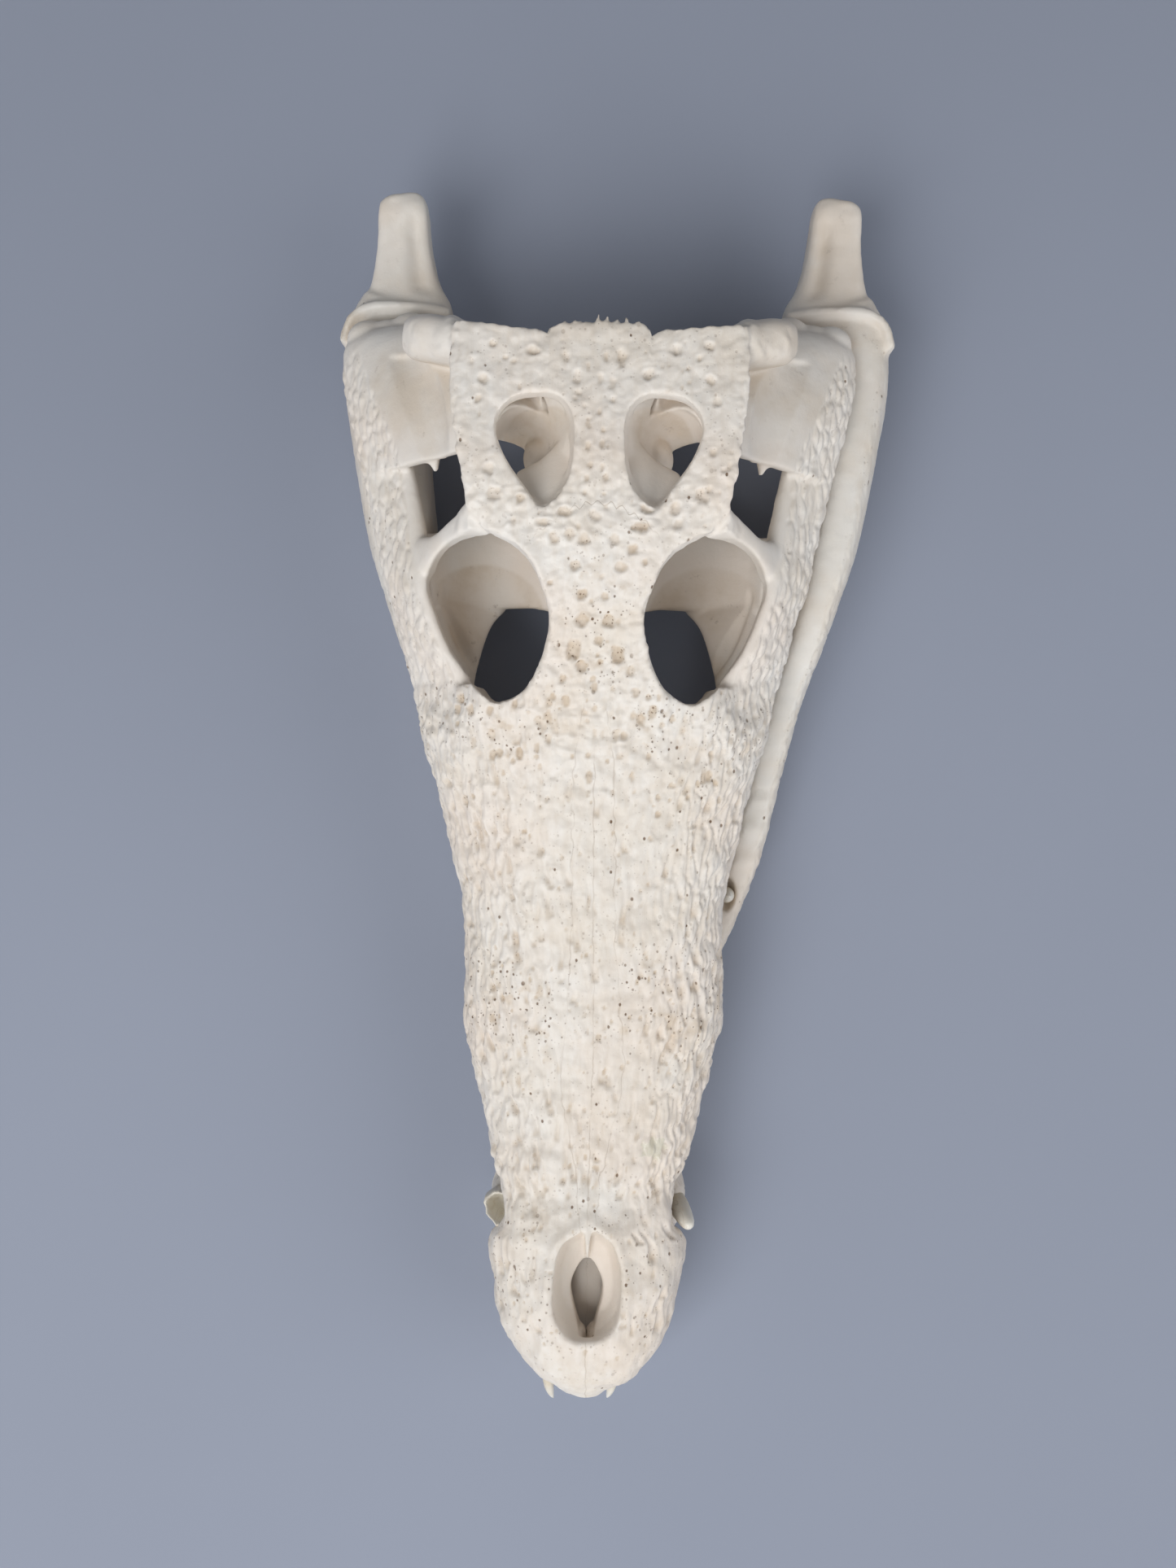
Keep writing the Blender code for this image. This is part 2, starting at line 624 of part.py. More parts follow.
def tooth(name, base, direction, radius, length, bend=(0, 0, 0), grow=0.0):
    """A curved cone with its root behind the base point; grown by a distance it is a clearance."""
    direction = Vector(direction).normalized()
    side = direction.orthogonal().normalized()
    other = direction.cross(side)
    radius += grow
    length += 1.5 * grow
    rings = []
    for along, width in ((-0.40, 0.90), (0.10, 1.0), (0.62, 0.68), (0.98, 0.14)):
        centre = Vector(base) + direction * length * along + Vector(bend) * max(along, 0) ** 2
        rings.append([
            centre
            + side * radius * width * math.cos(math.tau * k / TOOTH_SIDES)
            + other * radius * width * math.sin(math.tau * k / TOOTH_SIDES)
            for k in range(TOOTH_SIDES)
        ])
    return loft(name, rings)


def upper_teeth(grow=0.0):
    chance = random.Random(7)
    found = []
    for side in (1, -1):
        for y, radius, length in PREMAXILLARY_TEETH + MAXILLARY_TEETH:
            length *= chance.uniform(0.90, 1.06)
            half = snout_half_width(y)
            inset = 0.0032 + 0.5 * radius
            base = Vector(((half - inset) * side, y, tooth_edge(y) + 0.0015))
            lean = Vector((0.12 * side, 0.04, -1))
            bend = Vector((-0.10 * side * length, 0.16 * length, 0))
            if y == PREMAXILLARY_TEETH[0][0]:
                place = FRONT_TEETH_X[0] if side < 0 else FRONT_TEETH_X[1]
                base = Vector((place, y, tooth_edge(y) + 0.002))
                lean = Vector((0, -1, -0.60))
            elif y < -0.235:
                base = Vector((half * 0.90 * side, y + 0.003, tooth_edge(y) + 0.002))
                lean = Vector((0.30 * side, -0.60, -1))
            elif y < -0.22:
                lean = Vector((0.16 * side, -0.25, -1))
            found.append(tooth("upper_tooth", base, lean, radius, length, bend, grow))
    shift(found, snout_shift)
    return found


def lower_teeth(grow=0.0):
    chance = random.Random(11)
    found = []
    for side in (1, -1):
        for place, (y, radius, length) in enumerate(LOWER_TEETH):
            length *= chance.uniform(0.90, 1.06)
            inset = 0.0045 + 0.3 * radius
            lean = Vector((0.05 * side, 0, 1))
            if place == LOWER_CANINE:
                inset = 0.0042
                lean = Vector((0.08 * side, -0.10, 1))
                if side < 0:
                    length = 0.009      # broken off, an open stump in the socket
            if place == 0:
                lean = Vector((0.1 * side, -0.3, 1))
            base = Vector(((jaw_outer(y) - inset) * side, y, jaw_top(y) - 0.0015))
            found.append(tooth("lower_tooth", base, lean, radius, length, (0, 0, 0), grow))
    shift(found, jaw_shift)
    return found


def make_jaw():
    """Both halves of the lower jaw, joined at the chin."""
    forms = []
    for side in (1, -1):
        forms.append(strip(
            "ramus",
            [((w - t / 2, y, high), (w - t / 2, y, low), t) for y, w, t, low, high in JAW_STATIONS],
            side, rings=90, sides=18, squareness=3.0,
        ))
    forms.append(strip(
        "symphysis",
        [((-w, y, z), (w, y, z), t) for y, w, z, t in (
            (-0.2440, 0.0080, 0.024, 0.014), (-0.2350, 0.0170, 0.018, 0.025),
            (-0.2150, 0.0220, 0.014, 0.026), (-0.1960, 0.0190, 0.012, 0.022),
            (-0.1820, 0.0120, 0.010, 0.010),
        )],
        rings=20,
    ))
    cutters = []
    for side in (1, -1):
        cutters.append(strip(
            "mandibular_fenestra",
            [((x, 0.030, 0.027), (x, 0.078, 0.034), 0.016) for x in (0.060, 0.080, 0.115)],
            side, squareness=2,
        ))
        cutters.append(strip(
            "adductor_fossa",
            [((w - t / 2, y, 0.075), (w - t / 2, y, low), 0.0100) for y, w, t, low in (
                (0.050, 0.0855, 0.0180, 0.036), (0.080, 0.0955, 0.0182, 0.024),
                (0.110, 0.1045, 0.0190, 0.024), (0.140, 0.1095, 0.0215, 0.036),
            )],
            side,
        ))
        cutters.append(ball("trough", (0.0885, 0.222, 0.0600), (0.0075, 0.026, 0.0075), side))
    body = forms[0]
    run_together(body, forms[1:], JAW_GRAIN)
    boolean(body, "DIFFERENCE", cutters)
    shift([body], jaw_shift)
    return body


def bone(name, colour, roughness):
    material = bpy.data.materials.new(name)
    material.use_nodes = True
    shader = material.node_tree.nodes["Principled BSDF"]
    shader.inputs["Base Color"].default_value = (*colour, 1)
    shader.inputs["Roughness"].default_value = roughness
    shader.inputs["Metallic"].default_value = 0
    return material


def region_of(boxes, grow=0.0):
    """One cutter out of overlapping boxes, each (low corner, high corner)."""
    parts = [
        box("region", [c - grow for c in low], [c + grow for c in high]) for low, high in boxes
    ]
    if len(parts) > 1:
        boolean(parts[0], "UNION", parts[1:])
    return parts[0]


def part_off(whole, name, boxes):
    """Takes what lies in these boxes off the whole as a node, and leaves a thin gap beside it."""
    piece = copy_of(whole, name)
    boolean(piece, "INTERSECT", [region_of(boxes)])
    boolean(whole, "DIFFERENCE", [region_of(boxes, grow=GAP)])
    keep_largest(piece)
    return piece


def mirrored(boxes):
    return [((-high[0], *low[1:]), (-low[0], *high[1:])) for low, high in boxes]


def divide_cranium(cranium):
    """Parts the cranium at flat cuts into the bones or groups of bones that a person would name."""
    palate = [
        ((-0.0540, CUT_SNOUT_Y, -BIG), (0.0540, 0.150, CUT_PALATE_Z)),
        ((-0.0720, CUT_SNOUT_Y, -BIG), (0.0720, 0.150, 0.0520)),
    ]
    braincase = [
        ((-0.0360, 0.0775, CUT_PALATE_Z - 0.02), (0.0360, 0.0980, CUT_FRONTAL_Z)),
        ((-0.0360, 0.0960, CUT_PALATE_Z - 0.02), (0.0360, BIG, CUT_TABLE_Z)),
        ((-0.0800, 0.1535, 0.0940), (0.0800, BIG, CUT_TABLE_Z)),
    ]
    cheek = [((0.0500, CUT_SNOUT_Y, -BIG), (BIG, CUT_JUGAL_Y, 0.1085))]
    quadrate = [
        ((0.0300, CUT_JUGAL_Y, -BIG), (BIG, BIG, CUT_TABLE_Z)),
        ((0.0300, 0.1000, -BIG), (0.0497, BIG, CUT_TABLE_Z)),
    ]
    nodes = [
        part_off(cranium, "snout", [((-BIG, -BIG, -BIG), (BIG, CUT_SNOUT_Y, BIG))]),
        part_off(cranium, "palate", palate),
        part_off(cranium, "braincase", braincase),
        part_off(cranium, "cheek_left", cheek),
        part_off(cranium, "cheek_right", mirrored(cheek)),
        part_off(cranium, "quadrate_left", quadrate),
        part_off(cranium, "quadrate_right", mirrored(quadrate)),
    ]
    cranium.name = "skull_roof"
    keep_largest(cranium)
    return [*nodes, cranium]


def divide_jaw(jaw):
    left = part_off(jaw, "mandible_left", [((0, -BIG, -BIG), (BIG, BIG, BIG))])
    jaw.name = "mandible_right"
    keep_largest(jaw)
    return [left, jaw]


def main():
    clear_scene()

    cranium = make_snout()
    forms = [make_roof(), *make_braincase(), *make_palate()]
    for side in (1, -1):
        forms += make_cheek(side) + make_quadrate(side)
    run_together(cranium, forms, CRANIUM_GRAIN)
    boolean(cranium, "DIFFERENCE", opening_cutters())
    boolean(cranium, "DIFFERENCE", lower_teeth(grow=0.0012))
    soften(cranium, CRANIUM_GRAIN, 4)
    keep_largest(cranium)
    thin_out(cranium, CRANIUM_TRIANGLES)

    jaw = make_jaw()
    boolean(jaw, "DIFFERENCE", upper_teeth(grow=0.0010))
    soften(jaw, JAW_GRAIN, 4)
    keep_largest(jaw)
    thin_out(jaw, JAW_TRIANGLES)

    boolean(cranium, "UNION", upper_teeth())
    boolean(jaw, "UNION", lower_teeth())
    boolean(jaw, "DIFFERENCE", [copy_of(cranium, "clearance", grow=1.3 * GAP)])
    boolean(jaw, "DIFFERENCE", [box("floor", (-BIG, -BIG, -0.05), (BIG, BIG, 0))])

    nodes = divide_cranium(cranium) + divide_jaw(jaw)
    corners = np.array([v.co for node in nodes for v in node.data.vertices])
    low, high = corners.min(axis=0), corners.max(axis=0)
    shift = Matrix.Translation((-(low[0] + high[0]) / 2, -(low[1] + high[1]) / 2, 0))
    for node in nodes:
        node.data.transform(shift)
        colour, roughness = NODE_COLOURS[node.name.split("_")[0]]
        node.data.materials.clear()
        node.data.materials.append(bone(node.name + "_bone", colour, roughness))


main()
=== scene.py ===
# Dry crocodile skull lying with its jaws closed: bone forms, carved relief, teeth and finishes.
import math
import random

import bmesh
import bpy
import numpy as np
from mathutils import Matrix, Vector, kdtree


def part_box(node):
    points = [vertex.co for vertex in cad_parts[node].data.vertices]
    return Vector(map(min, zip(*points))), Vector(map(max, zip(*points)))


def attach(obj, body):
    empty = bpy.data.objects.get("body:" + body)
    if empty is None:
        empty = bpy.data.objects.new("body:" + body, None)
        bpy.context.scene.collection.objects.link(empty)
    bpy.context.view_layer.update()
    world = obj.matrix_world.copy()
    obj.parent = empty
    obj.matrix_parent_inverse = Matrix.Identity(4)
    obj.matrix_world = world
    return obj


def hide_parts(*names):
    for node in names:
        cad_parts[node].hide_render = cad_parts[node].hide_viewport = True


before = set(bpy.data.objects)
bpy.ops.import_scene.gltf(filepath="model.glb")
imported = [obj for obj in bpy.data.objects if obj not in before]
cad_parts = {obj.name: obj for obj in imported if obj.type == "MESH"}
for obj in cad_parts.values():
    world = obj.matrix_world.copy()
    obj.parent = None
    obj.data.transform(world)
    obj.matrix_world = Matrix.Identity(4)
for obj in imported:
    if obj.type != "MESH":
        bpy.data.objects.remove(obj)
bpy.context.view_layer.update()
print("frame loaded")

# everything is shaped with X = 0 on the cranium's midline and moved onto the frame at the end;
# how far shows from the left cheek, which is shaped with its lowest x and y at cheekStart
cheekLow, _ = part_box("cheek_left")
cheekStart = (0.05, 0.0243)
toFrame = Vector((cheekLow.x - cheekStart[0], cheekLow.y - cheekStart[1], 0.0))
bothSides = ((1, "Left"), (-1, "Right"))


# curves and closed forms

def metres(*rows):  # tables are written in millimetres
    return tuple(metres(*row) if isinstance(row, tuple) else row / 1000 for row in rows)


def curve(points):  # smooth through the points, for a number or an array
    at = np.array([p[0] for p in points], float)
    to = np.array([np.atleast_1d(p[1]) for p in points], float)
    slope = np.diff(to, axis=0) / np.diff(at)[:, None]
    before, after = slope[:-1], slope[1:]
    total = np.where(before + after == 0, 1, before + after)
    inner = np.where(before * after > 0, 2 * before * after / total, 0)
    tangent = np.vstack([slope[:1], inner, slope[-1:]])

    def value(position):
        position = np.asarray(position, float)
        i = np.clip(np.searchsorted(at, position) - 1, 0, len(at) - 2)
        width = (at[i + 1] - at[i])[..., None]
        t = np.clip((position - at[i])[..., None] / width, 0, 1)
        rise = t * t * (3 - 2 * t)
        found = ((1 - rise) * to[i] + rise * to[i + 1] + t * (1 - t) ** 2 * width * tangent[i]
                 + t * t * (t - 1) * width * tangent[i + 1])
        if to.shape[1] > 1:
            return found
        return found[..., 0] if position.ndim else float(found[0])

    return value


def closedCurve(points, count):  # points spread along a smooth closed line
    points = np.array(points, float)
    found = []
    for k in range(count):
        place = k * len(points) / count
        i, t = int(place), place % 1
        p0, p1, p2, p3 = (points[(i + j) % len(points)] for j in (-1, 0, 1, 2))
        found.append(0.5 * (2 * p1 + (p2 - p0) * t + (2 * p0 - 5 * p1 + 4 * p2 - p3) * t * t
                            + (3 * p1 - p0 - 3 * p2 + p3) * t ** 3))
    return found


def rounded(value, exponent):
    return math.copysign(abs(value) ** exponent, value)


def newObject(name, bm=None, mesh=None):
    if bm:
        mesh = bpy.data.meshes.new(name)
        bm.to_mesh(mesh)
        bm.free()
    obj = bpy.data.objects.new(name, mesh)
    bpy.context.scene.collection.objects.link(obj)
    return obj


def growRings(bm, rings):  # a closed skin grown from ring to ring
    ring = [bm.verts.new(p) for p in rings[0]]
    first = bm.faces.new(ring)
    for points in rings[1:]:
        edges = [bm.edges.get(pair) for pair in zip(ring, ring[1:] + ring[:1])]
        grown = bmesh.ops.extrude_edge_only(bm, edges=edges)["geom"]
        fresh = {part for part in grown if isinstance(part, bmesh.types.BMVert)}
        ring = [next(e.other_vert(v) for e in v.link_edges if e.other_vert(v) in fresh) for v in ring]
        for vert, point in zip(ring, points):
            vert.co = point
    last = bm.faces.new(ring)
    bmesh.ops.triangulate(bm, faces=[first, last])


def loft(name, rings):
    bm = bmesh.new()
    growRings(bm, rings)
    bmesh.ops.recalc_face_normals(bm, faces=bm.faces)
    return newObject(name, bm)


def strip(name, stations, side=1, rings=36, sides=24, squareness=2.8):
    # a bar or plate through stations of (edge, other edge, thickness)
    path = curve([(i, (*a, *b, t)) for i, (a, b, t) in enumerate(stations)])
    last = len(stations) - 1
    found = []
    for k in range(rings):
        place = last * k / (rings - 1)
        now, ahead, behind = path(place), path(min(place + 0.05, last)), path(max(place - 0.05, 0))
        middle = Vector((now[:3] + now[3:6]) / 2)
        along = Vector(ahead[:3] + ahead[3:6] - behind[:3] - behind[3:6])
        across = Vector(now[3:6] - now[:3]) / 2
        through = across.cross(along).normalized() * now[6] / 2
        ring = []
        for j in range(sides):
            angle = math.tau * j / sides
            point = (middle + across * rounded(math.cos(angle), 2 / squareness)
                     + through * rounded(math.sin(angle), 2 / squareness))
            ring.append((point.x * side, point.y, point.z))
        found.append(ring)
    return loft(name, found)


def levelStrip(name, rows, **more):  # across the midline: distance along Y, half-width, height, thickness
    return strip(name, [((-w, y, z), (w, y, z), t) for y, w, z, t in metres(*rows)], **more)


def ball(name, centre, radii, side=1):
    bm = bmesh.new()
    bmesh.ops.create_icosphere(bm, subdivisions=5, radius=1)
    bmesh.ops.scale(bm, verts=bm.verts, vec=radii)
    bmesh.ops.translate(bm, verts=bm.verts, vec=(centre[0] * side, centre[1], centre[2]))
    return newObject(name, bm)


def cone(name, base, tip, radius):
    bm = bmesh.new()
    base, tip = Vector(base), Vector(tip)
    bmesh.ops.create_cone(bm, cap_ends=True, segments=10, radius1=radius, radius2=radius * 0.25,
                          depth=(tip - base).length)
    turn = Vector((0, 0, 1)).rotation_difference(tip - base).to_matrix()
    bmesh.ops.rotate(bm, verts=bm.verts, cent=(0, 0, 0), matrix=turn)
    bmesh.ops.translate(bm, verts=bm.verts, vec=(base + tip) / 2)
    return newObject(name, bm)


def outlineCutter(name, outline, levels, side=1, count=72):
    # over a closed outline: at each level (height, scale, shift in x, shift in y)
    line = closedCurve(outline, count)
    middle = sum(line) / count
    rings = []
    for height, scale, shiftX, shiftY in levels:
        spots = [middle + (point - middle) * scale for point in line]
        rings.append([((x + shiftX) * side, y + shiftY, height) for x, y in spots])
    return loft(name, rings)


def applyModifiers(obj):
    graph = bpy.context.evaluated_depsgraph_get()
    mesh = bpy.data.meshes.new_from_object(obj.evaluated_get(graph))
    obj.modifiers.clear()
    obj.data = mesh


def removeAll(objects):
    for obj in objects:
        bpy.data.objects.remove(obj, do_unlink=True)


def remeshed(obj, grain, rounds=0):
    remesh = obj.modifiers.new("Remesh", "REMESH")
    remesh.mode = "VOXEL"
    remesh.voxel_size = grain
    if rounds:
        smooth = obj.modifiers.new("Smooth", "SMOOTH")
        smooth.factor = 0.5
        smooth.iterations = rounds
    applyModifiers(obj)


def runTogether(name, forms, grain):  # all these closed forms as one skin
    bm = bmesh.new()
    for form in forms:
        bm.from_mesh(form.data)
    removeAll(forms)
    obj = newObject(name, bm)
    remeshed(obj, grain)
    return obj


def joinForms(obj, forms):
    bm = bmesh.new()
    for form in [obj, *forms]:
        bm.from_mesh(form.data)
    bm.to_mesh(obj.data)
    bm.free()
    removeAll(forms)
    remeshed(obj, cranium["grain"])


def cutAway(obj, cutters, operation="DIFFERENCE"):
    group = bpy.data.collections.new("cutters")
    bpy.context.scene.collection.children.link(group)
    for cutter in cutters:
        group.objects.link(cutter)
    cut = obj.modifiers.new("Boolean", "BOOLEAN")
    cut.operation = operation
    cut.operand_type = "COLLECTION"
    cut.collection = group
    cut.solver = "MANIFOLD"
    applyModifiers(obj)
    bpy.data.collections.remove(group)
    removeAll(cutters)


# cranium

cranium = {
    "grain": 0.0007,
    "smoothing": 6,
    "tipY": -0.2545, "widestY": -0.1915, "endY": 0.038, "tipHalfWidth": 0.0405,
    "snoutHalfWidths": metres(
        (-191.5, 40.5), (-186.5, 39.9), (-181, 35.2), (-176, 33.6), (-168, 34.8), (-151, 41.4), (-131, 45.8),
        (-110.5, 51.2), (-95, 54), (-70, 53.4), (-55, 53.1), (-29, 57.8), (-12, 61.4), (11, 66.9),
        (45, 74.2)),
    "snoutTops": metres(
        (-254.5, 47), (-246, 57), (-236, 63.5), (-215, 67.5), (-185, 68), (-160, 66), (-120, 70), (-90, 75),
        (-50, 82), (-20, 88), (10, 96), (30, 103), (45, 108)),
    "toothEdge": metres(
        (-254.5, 36.5), (-235, 35.5), (-210, 34.5), (-190, 38), (-176, 46), (-163, 41), (-140, 35),
        (-100, 31), (-70, 36), (-50, 40), (-20, 43), (10, 50), (45, 60)),
    "snoutBend": metres((-165, 0), (-95, 1.2), (-50, 0.4), (-10, 0)),
    "roofHalfWidths": metres(
        (-10, 26), (20, 29), (35.3, 26.5), (45.5, 21.3), (60.3, 17.75), (68, 19.1), (78.1, 23.5), (86, 31),
        (91.5, 40.6), (99.6, 47.5), (117, 51), (145, 54.2), (160, 54.2), (165.5, 52.8)),
    "roofTops": metres(
        (-10, 86), (10, 94.5), (30, 103.5), (58, 112.5), (90, 122.5), (120, 126.5), (165.5, 126.5)),
    "roofThickness": 0.0085, "roofRim": 0.0018, "spikes": 15, "spikeSeed": 4,
    "naris": metres(
        (0, -177.2), (2, -179.1), (6.2, -182.1), (10.5, -185.8), (13.3, -195), (14.3, -204.5), (13, -214.5),
        (9.8, -220.3), (5, -223.7), (0, -224.3)),
    "incisiveY": (-0.196, -0.2295), "incisiveHalfWidth": 0.0066,
    "orbit": metres(
        (26, 82.5), (19.1, 68), (17.75, 60.3), (20.5, 46.5), (26.9, 35.3), (37, 30.6), (44.5, 35.2),
        (49.6, 41.8), (56.9, 52.5), (62.7, 66.4), (65.5, 79), (56, 89), (40.6, 90.5)),
    "upperTemporal": metres(
        (22.3, 140.9), (14, 139.3), (9.3, 131), (10, 114), (14.1, 104.9), (20.8, 100.3), (26.4, 106.5),
        (34.5, 118.5), (37.8, 130), (32.2, 138.4)),
}
snoutSide, snoutTop, toothEdge, snoutBend, roofSide, roofTop = (curve(cranium[key]) for key in (
    "snoutHalfWidths", "snoutTops", "toothEdge", "snoutBend", "roofHalfWidths", "roofTops"))

def bothHalves(half):  # an outline from its half with x above 0, which starts and ends on the midline
    return half + tuple((-x, y) for x, y in half[-2:0:-1])


nostril = bothHalves(cranium["naris"])


def snoutHalfWidth(y):
    tip, widest = cranium["tipY"], cranium["widestY"]
    share = np.clip((widest - y) / (widest - tip), 0, 1)
    return np.where(y >= widest, snoutSide(y), cranium["tipHalfWidth"] * np.sqrt(1 - share * share))


def bendSideways(objects, distance):
    for obj in objects:
        for vert in obj.data.vertices:
            vert.co.x += distance(vert.co.y)


def makeSnout():
    arcPoints, roundness, tipRings = 44, 2.5, 24
    widest, tip = cranium["widestY"], cranium["tipY"]
    places = [tip + 0.0006 + (widest - tip) * (1 - math.cos(math.pi / 2 * k / tipRings))
              for k in range(tipRings)]
    places += list(np.arange(widest, cranium["endY"], 0.003)) + [cranium["endY"]]
    rings = []
    for y in places:
        half, top, edge = float(snoutHalfWidth(y)), snoutTop(y), toothEdge(y)
        fine = min(1, half / 0.03)
        widestZ = edge + 0.007 * fine
        ring = []
        for k in range(arcPoints + 1):
            angle = math.pi * k / arcPoints
            x = half * rounded(math.cos(angle), 2 / roundness)
            z = widestZ + (top - widestZ) * rounded(math.sin(angle), 2 / roundness)
            # flush with the cheek bones beside the orbits
            near = float(step(y, 0.002, 0.034) * step(abs(x), 0.034, 0.042))
            ring.append((x, y, z + near * (min(z, max(widestZ, 0.148 - 1.116 * abs(x))) - z)))
        under = ((0.0008, 0.003), (0.003, 0.0), (0.0085, 0.0), (0.012, 0.0045), (0.019, 0.0065))
        left = [(half - inset * fine, edge + lift * fine) for inset, lift in under]
        ring += [(-x, y, z) for x, z in left]
        ring.append((0, y, edge + 0.0075 * fine))
        ring += [(x, y, z) for x, z in reversed(left)]
        rings.append(ring)
    form = loft("snoutForm", rings)
    bendSideways([form], snoutBend)
    return form


def makeRoof():
    across = 28
    rings = []
    for y in list(np.arange(-0.01, 0.16, 0.003)) + [0.16, 0.164, 0.1655]:
        half, top = roofSide(y), roofTop(y)
        upper, lower = [], []
        for k in range(across + 1):
            u = 2 * k / across - 1
            dish = cranium["roofRim"] * (u ** 4 - 0.35)
            upper.append((half * u, y, top + dish - 0.0022 * abs(u) ** 14))
            lower.append((half * u * 0.97, y, top - cranium["roofThickness"] + 0.003 * abs(u) ** 6))
        rings.append(upper + lower[::-1])
    form = loft("roofForm", rings)
    # ragged rear edge of the table
    chance = random.Random(cranium["spikeSeed"])
    spikes = []
    for k in range(cranium["spikes"]):
        x = -0.0165 + 0.0023 * k + chance.uniform(-0.0006, 0.0006)
        reach = chance.uniform(0.0012, 0.0034) * (1.25 - abs(x) / 0.022)
        spikes.append(cone("spike", (x, 0.161, 0.124), (x * 1.03, 0.166 + reach, 0.1245), 0.0018))
    return [form, *spikes]


def makeBraincase():
    stations = (  # distance along Y, half-width, bottom and top
        (0.072, 0.007, 0.099, 0.113), (0.09, 0.014, 0.078, 0.118), (0.11, 0.0165, 0.057, 0.12),
        (0.13, 0.021, 0.05, 0.121), (0.148, 0.029, 0.048, 0.12), (0.158, 0.034, 0.052, 0.118),
        (0.166, 0.028, 0.062, 0.11))
    form = strip("braincaseForm", [((-w, y, (low + high) / 2), (w, y, (low + high) / 2), high - low)
                                   for y, w, low, high in stations], rings=48, sides=36, squareness=2.4)
    return [form, ball("condyle", (0, 0.1685, 0.077), (0.0095, 0.0095, 0.008)),
            ball("tubera", (0, 0.158, 0.053), (0.017, 0.008, 0.011))]


def makeCheek(side):
    jugal = strip("jugal", metres(
        ((42, -12, 74), (58.5, -10, 53), 11), ((49, 20, 82), (67.6, 20, 58), 12),
        ((50, 41.8, 87), (73.3, 41.8, 61), 10), ((56.7, 52.5, 88), (75.7, 52.5, 63), 9.5),
        ((62.7, 66.4, 88.5), (78.7, 66.4, 64.5), 9), ((65.7, 79, 88), (83.5, 79, 65), 9),
        ((66.8, 95.3, 85), (87.3, 95.3, 65), 8.5), ((69.5, 109.8, 82), (90.9, 109.8, 65), 8),
        ((72.7, 124, 80), (94.5, 124, 64.5), 8), ((78, 145, 80), (99.3, 145, 64), 9)), side, rings=90)
    bar = strip("postorbital", metres(
        ((66.5, 77, 82), (69, 96, 82), 9), ((61, 83.5, 95), (61.5, 94, 96), 7.5),
        ((52.5, 88, 107), (53.5, 97.5, 108), 8), ((42, 89, 119), (45, 103.5, 119), 10)), side)
    return [jugal, bar]


def makeQuadrate(side):
    plate = strip("quadratePlate", metres(
        ((44, 124, 112), (94, 121.5, 67), 5), ((44, 131, 112.5), (95.5, 130, 66), 7),
        ((44, 142, 111), (99, 142, 65), 9), ((48, 158, 99), (103, 160, 62), 13),
        ((56, 172, 83), (103.5, 172, 60), 16), ((65, 179, 67), (102, 177, 59), 14),
        ((70, 185, 63), (98, 183, 59.5), 8)),
        side, rings=60, sides=36, squareness=2.3)
    body = strip("quadrateBody", metres(
        ((14, 116, 112), (14, 150, 62), 20), ((34, 130, 113), (38, 158, 68), 20),
        ((50, 140, 105), (56, 168, 68), 16), ((66, 152, 93), (72, 177, 62), 14)), side)
    spine = strip("quadratojugalSpine", metres(
        ((62, 136, 96), (72, 134, 89), 7), ((61.2, 129, 93.5), (67.5, 127, 89), 4.8),
        ((61.2, 123.5, 92.5), (64, 121.5, 90.3), 3.4),
        ((61.8, 119.5, 91.8), (62.6, 118.8, 90.8), 1.8)), side)
    thorn = strip("quadratojugalThorn", metres(
        ((56, 134, 98.5), (64, 133, 93), 5), ((57.5, 127, 96.5), (60, 126.2, 94), 3),
        ((57.7, 123.5, 95.5), (58.5, 123.2, 94.6), 1.6)), side)
    lobe = strip("paroccipital", metres(
        ((20, 153, 122), (20, 157, 78), 18), ((40, 156, 123.5), (43, 164, 86), 15),
        ((54, 160, 124), (59, 168, 90), 17), ((61.5, 162.5, 120), (66, 169, 92), 17.5),
        ((69, 164.5, 115.5), (71.5, 169, 94), 15.5),
        ((73.5, 166, 110), (73.8, 168.5, 97), 10)), side, squareness=2.6)
    return [plate, body, spine, thorn, lobe,
            ball("condyle", (0.0935, 0.1795, 0.06), (0.009, 0.0078, 0.0072), side),
            ball("condyle", (0.0765, 0.1825, 0.0605), (0.0088, 0.0078, 0.0082), side),
            ball("condyleWaist", (0.085, 0.1805, 0.0606), (0.009, 0.007, 0.0066), side)]


def makePalate():
    forms = [levelStrip("palatines", (
        (-35, 14, 53, 18), (0, 13, 54, 16), (30, 11.5, 54, 15), (60, 11.5, 53, 15), (80, 15, 52, 17),
        (105, 19, 52, 22), (130, 18, 52, 24)), rings=60)]
    for side in (1, -1):
        forms += [
            strip("pterygoidWing", metres(
                ((6, 67, 50), (6, 130, 50), 10), ((24, 72, 49), (26, 131, 46), 6.2),
                ((42, 74, 42), (44, 124, 36), 5), ((55, 80, 32), (56, 112, 26), 6),
                ((62.5, 87, 25), (62, 103, 21), 6.5)), side, rings=52, sides=36),
            strip("ectopterygoid", metres(
                ((37, 73, 43), (58, 97, 30), 6), ((43, 65, 48), (65, 87, 44), 7),
                ((47.5, 50, 56), (68.5, 77, 59), 8), ((50, 36, 62), (69, 62, 66), 9.5)), side),
            strip("ectopterygoidWing", metres(
                ((24, 73, 46.2), (24, 112, 46.2), 7.6), ((48, 71.5, 47.6), (50, 108, 47.6), 7.2),
                ((62, 70, 57), (66, 102, 57), 7), ((68, 70, 68), (72, 100, 68), 7)), side, rings=48),
            strip("prefrontalPillar", metres(
                ((12, 28, 101), (21, 42, 101), 8), ((9, 30, 80), (13.5, 42, 80), 5.5),
                ((7, 30, 56), (11.5, 44, 56), 7)), side)]
    return forms


